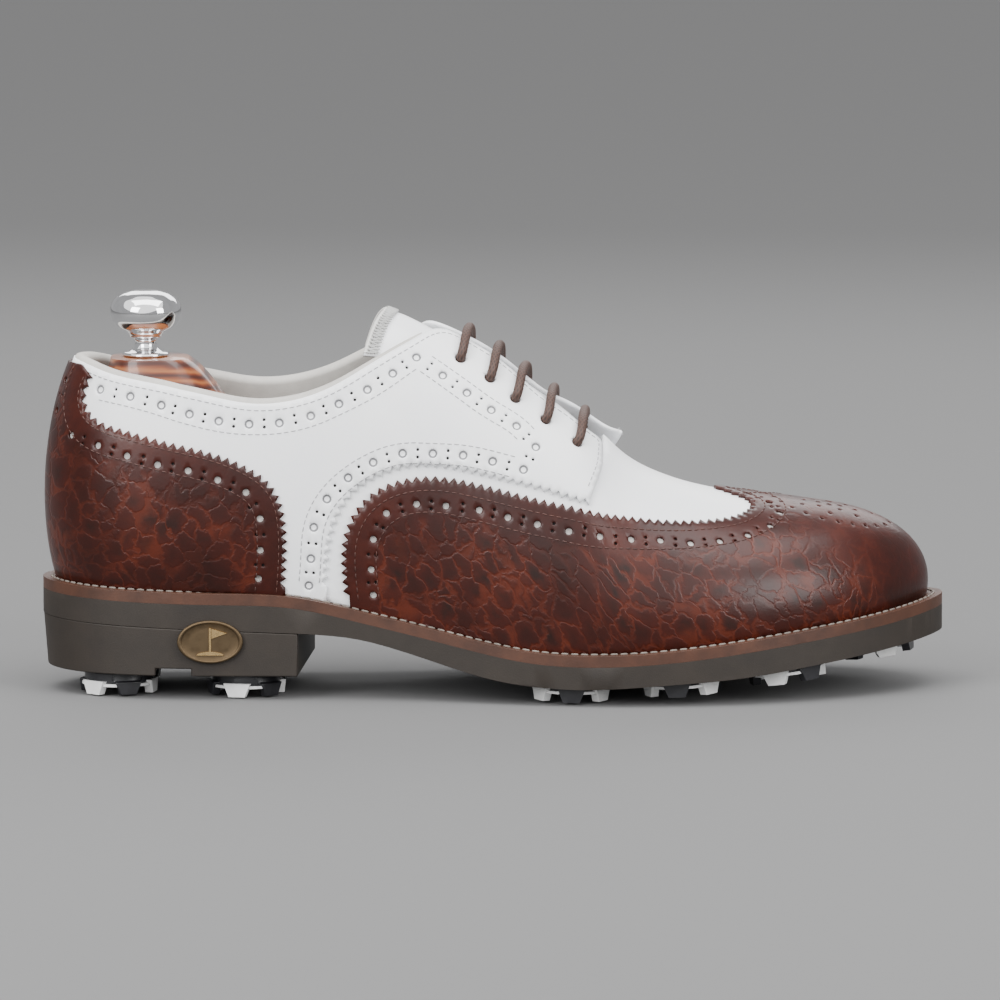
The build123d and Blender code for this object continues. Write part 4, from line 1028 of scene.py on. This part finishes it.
def make_quarters():
    for side, label in ((1, "lateral"), (-1, "medial")):
        front = path(wall_chart, wall_points(QUARTER_FRONT, side))
        teeth = pinked(wall_chart, front if side < 0 else front[::-1])
        teeth = teeth if side < 0 else teeth[::-1]
        top = [tuple(front[-1])] + lobe(side)[::-1] + facing_path(side)[::-1] + collar_path(side)[::-1]
        top = path(wall_chart, top, 0.9)
        seam = [(side * 0.4, v) for v in np.arange(top[-1][1], 0, -2.0)]
        foot = foot_path(side * 0.4, front[0][0])
        outline = np.concatenate([foot, [(front[0][0], -1.5)], teeth, top[1:], seam])
        chain = [mirror_wall(points, side) for points in (BAND, FACING_BAND, LOWER_BAND)]
        holes = brogue_holes(wall_chart, np.concatenate(chain))
        large, small = [h for h in holes if h[1] > 1], [h for h in holes if h[1] < 1]
        holes = holes + [(q, LACE_HOLE_RADIUS) for q in eyelet_chart(side)]
        band = path(wall_chart, chain[0])
        facing = path(wall_chart, np.concatenate([chain[0][-1:], chain[1][:-1]]))
        lower = path(wall_chart, np.concatenate([chain[1][-1:], chain[2]]))
        piece = sheet(f"quarter_{label}_leather", wall_chart, outline, holes, 0.0, LEATHER, 1.5,
                      lift=lambda q, side=side: facing_lift(wall_chart, q, side))
        finish_piece(piece, "white", "shoe", [f"quarter_{label}"])
        rows = [offset(wall_chart, line, step) for line in (facing[8:-8], lower[8:])
                for step in (BAND_STITCHES, -BAND_STITCHES)]
        rows.append(offset(wall_chart, band, -side * BAND_STITCHES))
        edge = offset(wall_chart, top, side * 2.3)
        rows.append(edge[6:-12])
        # The white leather's stitches use thread painted grey as their shade.
        stitch_piece(f"quarter_{label}_stitches", wall_chart, rows, LEATHER + 0.02, "thread_white_shaded",
                     0.2, lambda q, side=side: facing_lift(wall_chart, q, side))
        # Behind the holes: grey discs of painted shade with white centres of the underlay, and near-black
        # painted shade in the pin holes.
        backing_discs(f"quarter_{label}_hole_shade_disc", wall_chart, large, 0.5, "grey_hole_shade")
        centres = [(q, 0.75) for q, _ in large]
        backing_discs(f"quarter_{label}_hole_centre", wall_chart, centres, 0.62, "white")
        backing_discs(f"quarter_{label}_pin_shade_disc", wall_chart, small, 0.35, "dark_pinhole_shade")


def stitch_piece(name, chart, rows, depth, paint, radius=0.24, lift=None):
    """All the stitches along several rows as one piece."""
    starts, ends = [], []
    for row in rows:
        a, b = stitch_ends(chart, row, depth, lift=lift)
        starts.append(a)
        ends.append(b)
    thread = capsule_rows(name, np.concatenate(starts), np.concatenate(ends), radius)
    finish_piece(thread, paint, "shoe")


def backing_discs(name, chart, holes, depth, paint):
    """Shallow dished discs that close the large holes from behind; the grey and near-black ones are painted
    shade in the holes.
    """
    points, faces = [], []
    for centre, radius in holes:
        base = len(points)
        rim = place(chart, ring(chart, centre, radius + 0.15, 12), np.full(12, depth))
        mid = place(chart, ring(chart, centre, radius * 0.55, 12), np.full(12, depth - 0.12))
        core = place(chart, np.asarray(centre)[None], np.full(1, depth - 0.18))
        points += [*rim, *mid, *core]
        for k in range(12):
            n = (k + 1) % 12
            faces.append((base + k, base + n, base + 12 + n, base + 12 + k))
            faces.append((base + 12 + k, base + 12 + n, base + 24))
    piece = add_object(name, new_mesh(name, np.array(points), faces))
    finish_piece(piece, paint, "shoe")


def foot_dome(count, x_lateral, x_medial):
    """Dome chart points just under the feather line, from one side round the toe to the other."""
    run = np.linspace(station_of(x_lateral), 2 * TOE_STATION - station_of(x_medial), count)
    wrapped = np.where(run > TOE_STATION, run - 2 * TOE_STATION, run)
    length = spoke_length(wrapped) + 1.5
    crest_x, dir_x, dir_y, _ = spoke(wrapped)
    return np.column_stack([crest_x + dir_x * length, dir_y * length])


def wing_half(side):
    """Edge of the wing cap on one side, from the welt to the peak; the two sides mirror each other."""
    return path(dome_chart, [(x, y * side) for x, y in WING_EDGE])


def plain_border(chart, curves, width, extra=None):
    """1 beside the given edges and 0 away from them, where the leather's scales show."""
    def value(q):
        gap = np.full(len(q), 1e9)
        for curve in curves:
            for start in range(0, len(curve), 60):
                part = curve[start:start + 60]
                gap = np.minimum(gap, ((q[:, None] - part[None]) ** 2).sum(-1).min(axis=1))
        border = np.clip((width - np.sqrt(gap)) / 3, 0, 1)
        return np.maximum(border, extra(q)) if extra else border
    return value


def make_wing_cap():
    lateral, medial = wing_half(1), wing_half(-1)
    teeth_l = pinked(dome_chart, lateral[::-1])[::-1][:-2]
    teeth_m = pinked(dome_chart, medial)[:-2]
    foot = foot_dome(240, WING_EDGE[0][0], WING_EDGE[0][0])
    outline = np.concatenate([foot, teeth_m, [(WING_EDGE[-1][0] - 1.2, 0.0)], teeth_l[::-1]])
    holes = []
    for side in (1, -1):
        holes += brogue_holes(dome_chart, [(x, y * side) for x, y in WING_HOLES], 1.15, 0.5)
    large, small = [h for h in holes if h[1] > 1], [h for h in holes if h[1] < 1] + medallion()

    def toe(q):
        return 0.75 * np.clip((q[:, 0] - 88) / 22, 0, 1) * np.clip((44 - np.abs(q[:, 1])) / 14, 0, 1)

    piece = sheet("wing_cap_leather", dome_chart, outline, large + small, 0.0, LEATHER - 0.1, 1.1,
                  plain_border(dome_chart, (lateral, medial), 11.0, toe))
    finish_piece(piece, "brown", "shoe", ["wing_cap"])
    rows = [offset(dome_chart, half, -side * d)
            for half, side in ((lateral, 1), (medial, -1)) for d in STITCHES_FROM_EDGE]
    stitch_piece("wing_cap_stitches", dome_chart, rows, LEATHER - 0.07, "thread_brown")
    # Mid-grey discs are the white vamp under painted shade; near-black discs are painted shade in the pin
    # holes.
    backing_discs("wing_cap_hole_backing", dome_chart, large, 0.3, "underlay_in_shade")
    backing_discs("wing_cap_pin_backing", dome_chart, small, 0.35, "dark_pinhole_shade")


def medallion():
    """Small punched rosette on the top of the toe."""
    holes = []
    centre = np.array([113.0, 0.0])
    for turn in range(8):
        angle = turn * math.pi / 4
        for reach in (5.0, 9.0, 13.0):
            spin = angle + (math.pi / 8 if reach == 9.0 else 0)
            spot = centre + reach * np.array([math.cos(spin), math.sin(spin)])
            holes.append((spot, 0.75 if reach == 5.0 else 0.55))
    holes.append((centre, 1.3))
    for k in range(22):
        angle = 2 * math.pi * k / 22
        holes.append((centre + np.array([19.5 * math.cos(angle), 17.5 * math.sin(angle)]), 0.55))
    return holes


def make_vamp():
    half = [(-67, -112)] + VAMP_EDGE
    edge = path(dome_chart, half + [(37.5, 0)] + [(x, -y) for x, y in half[::-1]], 1.2)
    outline = np.concatenate([foot_dome(200, -67, -67), edge[::-1]])
    piece = sheet("vamp_leather", dome_chart, outline, [], VAMP_INNER, VAMP_OUTER, 2.0)
    finish_piece(piece, "white", "shoe", ["vamp", "vamp_lining"])


def make_counter():
    halves = {}
    for side in (1, -1):
        points = wall_points(COUNTER_EDGE, side) + wall_points(COUNTER_STRIP, side)
        halves[side] = path(wall_chart, points)
    teeth_l = pinked(wall_chart, halves[1][::-1])[::-1]
    teeth_m = pinked(wall_chart, halves[-1])
    top = []
    for station in np.linspace(-13, 13, 14):
        level = at_height(np.array([station]), np.array([109.4]))[0]
        top.append((station, (1 - level) * float(spoke_length(station))))
    foot = np.array(foot_path(teeth_m[0][0], teeth_l[0][0], 1.5))
    outline = np.concatenate([foot, [(teeth_l[0][0], -1.5)], teeth_l, top[::-1], teeth_m[::-1]])
    holes, rows = [], []
    for side in (1, -1):
        for points in (COUNTER_HOLES, COUNTER_STRIP_HOLES):
            holes += brogue_holes(wall_chart, mirror_wall(points, side), 1.15, 0.5)
        rows += [offset(wall_chart, halves[side], side * d) for d in STITCHES_FROM_EDGE]
    large, small = [h for h in holes if h[1] > 1], [h for h in holes if h[1] < 1]
    piece = sheet("heel_counter_leather", wall_chart, outline, holes, COVER_INNER, COVER_OUTER, 1.1,
                  plain_border(wall_chart, halves.values(), 11.0))
    finish_piece(piece, "brown", "shoe", ["heel_counter_cover"])
    stitch_piece("heel_counter_stitches", wall_chart, rows, COVER_OUTER + 0.03, "thread_brown")
    # Mid-grey discs are the white quarter under painted shade; near-black discs are painted shade in the pin
    # holes.
    backing_discs("heel_counter_hole_backing", wall_chart, large, COVER_INNER + 0.25, "underlay_in_shade")
    backing_discs("heel_counter_pin_backing", wall_chart, small, COVER_INNER + 0.3, "dark_pinhole_shade")


def top_edge_level(station):
    """Level of the collar at each station round the ankle opening."""
    levels = np.zeros_like(station)
    for side in (1, -1):
        curve = path(wall_chart, collar_path(side), 1.0)
        order = np.argsort(side * curve[:, 0])
        up = np.interp(side * station, side * curve[order, 0], curve[order, 1])
        mine = (station >= 0) == (side > 0)
        levels[mine] = (1 - up / spoke_length(station))[mine]
    return levels


def make_lining():
    """Inside of the ankle opening: lining, padded collar and its rolled top edge."""
    front = float(station_of(-24))
    station = np.linspace(-front, front, 300)
    top = top_edge_level(station)
    rows = []
    length = spoke_length(station)
    foot = foot_level(station, np.full(len(station), LINING_INNER))
    for share in np.linspace(1, 0, 26):
        rows.append(surface(station, top + (foot - top) * share, LINING_INNER))
    roll = [(-3.6, -0.55), (-3.1, -1.05), (-2.2, -1.4), (-1.2, -1.45), (-0.3, -1.2), (0.35, -0.6), (0.5, 0.2),
            (0.5, 1.2)]
    for depth, rise_mm in roll:
        rows.append(surface(station, top + rise_mm / length, depth))
    grid = np.array(rows)
    n = len(station)
    faces = [face[::-1] for face in grid_faces(len(rows), n, False)]
    mesh = new_mesh("ankle_lining", grid.reshape(-1, 3), faces)
    piece = add_object("ankle_lining", mesh)
    solid = piece.modifiers.new("thickness", "SOLIDIFY")
    solid.thickness = 0.5 * MM
    solid.offset = 1.0
    finish_piece(piece, "lining", "shoe", ["quarter_lining", "collar_padding"])
    seam = np.column_stack([station, (1 - (top + 8.5 / length)) * length])[30:-30]
    a, b = stitch_ends(wall_chart, seam, LINING_INNER - 0.08, 1.6, 0.9)
    thread = capsule_rows("ankle_lining_stitches", a, b, 0.22)
    finish_piece(thread, "thread_dark", "shoe")


TONGUE_END = [(-43.5, -40), (-41.5, -32), (-39.5, -24), (-37, -14), (-35.3, -5), (-35, 0)]
TONGUE_ROOT_X, TONGUE_ROOT_HALF = 46.0, 24.0


def tongue_spot(share_along, share_across):
    """Dome chart point of the tongue: 0 to 1 from its root to its end, -1 to 1 across it."""
    end = smooth([(i / 5, y) for i, (_, y) in enumerate(TONGUE_END[::-1])])
    end_x = smooth([(i / 5, x) for i, (x, _) in enumerate(TONGUE_END[::-1])])
    a = np.abs(share_across)
    x = TONGUE_ROOT_X + (end_x(a) - TONGUE_ROOT_X) * share_along
    y = TONGUE_ROOT_HALF * a * (1 - share_along) - end(a) * share_along
    return np.stack([x, np.sign(share_across) * y], axis=-1)


def make_tongue():
    """Padded tongue lying under the facings, with an overcast rear end."""
    along, across = np.linspace(0, 1, 70), np.linspace(-1, 1, 61)
    u, v = np.meshgrid(along, across, indexing="ij")
    q = tongue_spot(u.ravel(), v.ravel())
    swell = 0.5 * (1 - v.ravel()**2) * np.clip((1 - u.ravel()) * 12, 0.2, 1)
    rows, cols = u.shape
    outer = place(dome_chart, q, -3.95 + swell - 0.5)
    inner = place(dome_chart, q, -5.8)
    count = rows * cols
    faces = grid_faces(rows, cols, False)
    faces += [tuple(count + i for i in face[::-1]) for face in faces]
    rim = [k for k in range(cols)] + [i * cols + cols - 1 for i in range(1, rows)]
    rim += [(rows - 1) * cols + k for k in range(cols - 2, -1, -1)]
    rim += [i * cols for i in range(rows - 2, 0, -1)]
    faces += [(a, count + a, count + b, b) for a, b in zip(rim, rim[1:] + rim[:1])]
    piece = add_object("tongue_leather", new_mesh("tongue_leather", np.concatenate([outer, inner]), faces))
    finish_piece(piece, "white", "shoe", ["tongue"])
    border = tongue_spot(np.full(200, 0.992), np.linspace(-0.98, 0.98, 200))
    inside_row = tongue_spot(np.full(200, 0.945), np.linspace(-0.98, 0.98, 200))
    turns = 46
    starts = place(dome_chart, border[np.linspace(0, 198, turns).astype(int)], -3.5)
    ends = place(dome_chart, inside_row[np.linspace(1, 199, turns).astype(int)], -3.35)
    zig = np.concatenate([starts[:-1], ends[:-1]])
    zag = np.concatenate([ends[:-1], starts[1:]])
    thread = capsule_rows("tongue_overcast", zig, zag, 0.36)
    finish_piece(thread, "tongue_thread", "shoe")
    roll = tube("tongue_piping", place(dome_chart, border, -4.85), 1.0, 14)
    finish_piece(roll, "tongue_back", "shoe")


# ---------------------------------------------------------------- lace
def lace_route():
    """Control points: a tail under the lateral facing, five straight bars and the other tail."""
    points = []

    def spot(x, side, distance, depth):
        station = np.array([station_of(x, side)])
        points.append(surface(station, beside_crest(station, distance), depth)[0])

    def tail(side, rows):
        for row in rows:
            spot(EYELET_X[side][row] - 4.0, side, EYELET_SPAN[row] + LACE_TAIL_OUT[side], LACE_UNDER_DEPTH)

    def edge(row, side):
        middle = (EYELET_X[1][row] + EYELET_X[-1][row]) / 2
        distance = float(facing_gap(middle)) - 1.0
        x = middle + (EYELET_X[side][row] - middle) * distance / EYELET_SPAN[row]
        spot(x, side, distance, LACE_OVER_DEPTH)

    tail(1, (4, 2, 0))
    side = 1
    for row in range(5):
        spot(EYELET_X[side][row], side, EYELET_SPAN[row], LACE_UNDER_DEPTH)
        spot(EYELET_X[side][row], side, EYELET_SPAN[row], LACE_OVER_DEPTH)
        edge(row, side)
        edge(row, -side)
        spot(EYELET_X[-side][row], -side, EYELET_SPAN[row], LACE_OVER_DEPTH)
        spot(EYELET_X[-side][row], -side, EYELET_SPAN[row], LACE_UNDER_DEPTH)
        side = -side
    tail(-1, (4, 2, 0))
    return np.array(points)


def quadratic_spline(points, per=14):
    """Smooth line of a quadratic B-spline with its ends on the first and last points."""
    mids = (points[1:] + points[:-1]) / 2
    line = [points[0]]
    for i in range(1, len(points) - 1):
        a = points[0] if i == 1 else mids[i - 1]
        c = points[-1] if i == len(points) - 2 else mids[i]
        for t in np.linspace(0, 1, per + 1)[1:]:
            line.append((1 - t)**2 * a + 2 * t * (1 - t) * points[i] + t * t * c)
    return np.array(line)


def make_lace():
    line = quadratic_spline(lace_route(), 16)
    run = run_along(line)
    at = np.arange(0, run[-1], 0.22)
    line = pick(at, run, line)

    def braid(run, angle):
        a = np.sin(8 * angle + run * 2 * np.pi / 2.4)
        b = np.sin(8 * angle - run * 2 * np.pi / 2.4)
        return 0.94 + 0.06 * np.maximum(a, b)

    piece = tube("lace_cotton", line, LACE_DIAMETER / 2, 32, profile=braid)
    # Braid relief per vertex, which the lace material turns into painted shade: dark in the grooves, light on
    # the crests.
    angle = np.linspace(0, 2 * np.pi, 32, endpoint=False)
    values = (braid(at[:, None], angle[None]) - 0.88) / 0.12
    set_values(piece.data, "braid_groove_shade", values.reshape(-1))
    finish_piece(piece, "lace", "shoe", ["lace"])


# ---------------------------------------------------------------- lathe work and copied CAD pieces
def lathe(name, profile, centre, steps=96):
    """Surface of revolution about an upright axis; the profile is (radius, height) pairs."""
    profile = np.array(profile, float)
    along = run_along(profile)
    dense = pick(np.linspace(0, along[-1], 90), along, profile)
    kernel = np.array([1, 2, 3, 2, 1]) / 9
    for k in (0, 1):
        inner = np.convolve(dense[:, k], kernel, "valid")
        dense[2:-2, k] = inner
    angle = np.linspace(0, 2 * np.pi, steps, endpoint=False)
    points = np.array([(centre[0] + r * math.cos(t), centre[1] + r * math.sin(t), centre[2] + h)
                       for r, h in dense[1:-1] for t in angle])
    rows = len(dense) - 2
    faces = grid_faces(rows, steps)
    faces.append(tuple(reversed(range(steps))))
    last = (rows - 1) * steps
    faces.append(tuple(last + k for k in range(steps)))
    return add_object(name, new_mesh(name, points, faces))


KNOB_PROFILE = [      # mm from the axis and up from the cedar
    (0, 0), (8.0, 0), (8.1, 0.5), (8.0, 1.1), (7.2, 1.5), (5.6, 1.7), (4.4, 2.3), (3.7, 3.6), (3.5, 5.0),
    (3.9, 6.0), (5.6, 6.5), (6.0, 7.0), (5.6, 7.5), (6.4, 8.2), (9.4, 9.8), (11.3, 12.0), (12.05, 14.6),
    (11.8, 17.0), (10.4, 19.4), (7.8, 21.2), (4.4, 22.2), (0, 22.45),
]


def make_knob():
    low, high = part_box("knob")
    centre = ((low[0] + high[0]) / 2 / MM, (low[1] + high[1]) / 2 / MM, low[2] / MM)
    finish_piece(lathe("pull_knob", KNOB_PROFILE, centre), "chrome", "tree_back", ["knob"])


def copy_node(node, name, paint, body, bevel=0.3, segments=2, angle=35):
    """The CAD node's own shape with softened edges."""
    mesh = frame["nodes"][node].data.copy()
    piece = add_object(name, mesh)
    bm = bmesh.new()
    bm.from_mesh(mesh)
    bmesh.ops.remove_doubles(bm, verts=bm.verts, dist=1e-6)
    bmesh.ops.dissolve_limit(bm, angle_limit=math.radians(1.0), verts=bm.verts, edges=bm.edges)
    bm.to_mesh(mesh)
    bm.free()
    soft = piece.modifiers.new("softened", "BEVEL")
    soft.width = bevel * MM
    soft.segments = segments
    soft.limit_method = "ANGLE"
    soft.angle_limit = math.radians(angle)
    mesh.polygons.foreach_set("use_smooth", np.ones(len(mesh.polygons), bool))
    mesh.set_sharp_from_angle(angle=math.radians(40))
    return finish_piece(piece, paint, body, [node])


def make_cleats():
    for name in sorted(frame["bodies"]):
        if name.startswith("cleat_"):
            copy_node(f"{name}_core", f"{name}_dark", "dark", name, 0.35)
            copy_node(f"{name}_legs", f"{name}_pale", "pale", name, 0.35)


def ring_line(margin, height, count=900):
    """Closed line over the welt, a margin inside the sole's edge and a height over its top."""
    plan = inward(SOLE_RING, np.full(len(SOLE_RING), margin))
    run = run_along(plan)
    plan = pick(np.linspace(0, run[-1], count), run, plan)
    return np.column_stack([plan, welt_top(plan[:, 0]) + height])


def make_welt_stitches():
    line = ring_line(3.0, 0.15, 4000)
    run = run_along(line)
    first = np.arange(0, run[-1] - 3, 3.3)
    # The thread's dark colour is painted shade under the upper's overhang.
    thread = capsule_rows("welt_stitches", pick(first, run, line), pick(first + 2.5, run, line), 0.42, 8)
    finish_piece(thread, "thread_welt_in_shade", "shoe")


def make_badge():
    """Oval plate with a raised rim and a flag on its pin."""
    low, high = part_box("badge")
    cx, cz = (low[0] + high[0]) / 2 / MM, (low[2] + high[2]) / 2 / MM
    half_x, half_z = (high[0] - low[0]) / 2 / MM, (high[2] - low[2]) / 2 / MM
    back, front = high[1] / MM, low[1] / MM
    rows = [(1.0, 0.0), (1.0, 0.75), (0.97, 0.95), (0.93, 1.0), (0.89, 0.95), (0.87, 0.62), (0.85, 0.55),
            (0.6, 0.6), (0.3, 0.64)]
    steps = 96
    points = []
    for scale, share in rows:
        for k in range(steps):
            t = 2 * math.pi * k / steps
            points.append((cx + half_x * scale * math.cos(t), back + (front - back) * share,
                           cz + half_z * scale * math.sin(t)))
    faces = grid_faces(len(rows), steps)
    faces.append(tuple((len(rows) - 1) * steps + k for k in range(steps)))
    faces.append(tuple(reversed(range(steps))))
    plate = add_object("heel_badge", new_mesh("heel_badge", np.array(points), faces))
    finish_piece(plate, "brass_dark", "shoe", ["badge"])
    face_y = back + (front - back) * 0.6

    def relief(name, outline, rise_mm):
        n = len(outline)
        base = [(cx + x, face_y, cz + z) for x, z in outline]
        top = [(cx + x * 0.97, face_y - rise_mm, cz + z * 0.97) for x, z in outline]
        faces = [(k, (k + 1) % n, n + (k + 1) % n, n + k) for k in range(n)] + [tuple(range(n, 2 * n))]
        piece = add_object(name, new_mesh(name, np.array(base + top), faces, False))
        finish_piece(piece, "brass", "shoe")

    relief("heel_badge_pole", [(-0.35, -4.6), (0.35, -4.6), (0.35, 4.9), (-0.35, 4.9)], 0.45)
    relief("heel_badge_flag", [(0.5, 4.7), (5.8, 3.1), (0.5, 1.2)], 0.45)
    mound = [(4.6 * math.cos(t), -4.6 + 1.3 * math.sin(t)) for t in np.linspace(0, math.pi, 16)]
    relief("heel_badge_green", mound, 0.4)


def carry(node, paint):
    """A CAD node that keeps its shape gets its material."""
    thing = frame["nodes"][node]
    thing.data.materials.clear()
    thing.data.materials.append(PAINTS[paint])


HIDDEN_NODES = {
    "board": ("insole_board", "cork_filler", "toe_puff", "heel_stiffener"),
    "lining": ("sock_liner",),
    "dark": ("receptacles",),
    "steel": ("shank", "heel_nails", "tree_pin", "tree_eye", "tree_tube", "tree_rod", "tree_spring",
              "knob_screw"),
}


def make_rest():
    copy_node("outsole", "outsole_rubber", "rubber", "shoe", 0.5, 2)
    copy_node("heel_block", "heel_rubber", "rubber", "shoe", 0.5, 2)
    copy_node("welt", "welt_strip", "welt", "shoe", 0.45, 2)
    copy_node("tree_heel", "tree_heel_cedar", "cedar", "tree_back", 1.2, 3)
    copy_node("tree_forepart", "tree_forepart_cedar", "cedar", "shoe", 1.0, 3)
    for paint, nodes in HIDDEN_NODES.items():
        for node in nodes:
            carry(node, paint)


make_quarters()
make_vamp()
make_wing_cap()
make_counter()
make_lining()
make_tongue()
make_lace()
make_knob()
make_cleats()
make_welt_stitches()
make_badge()
make_rest()
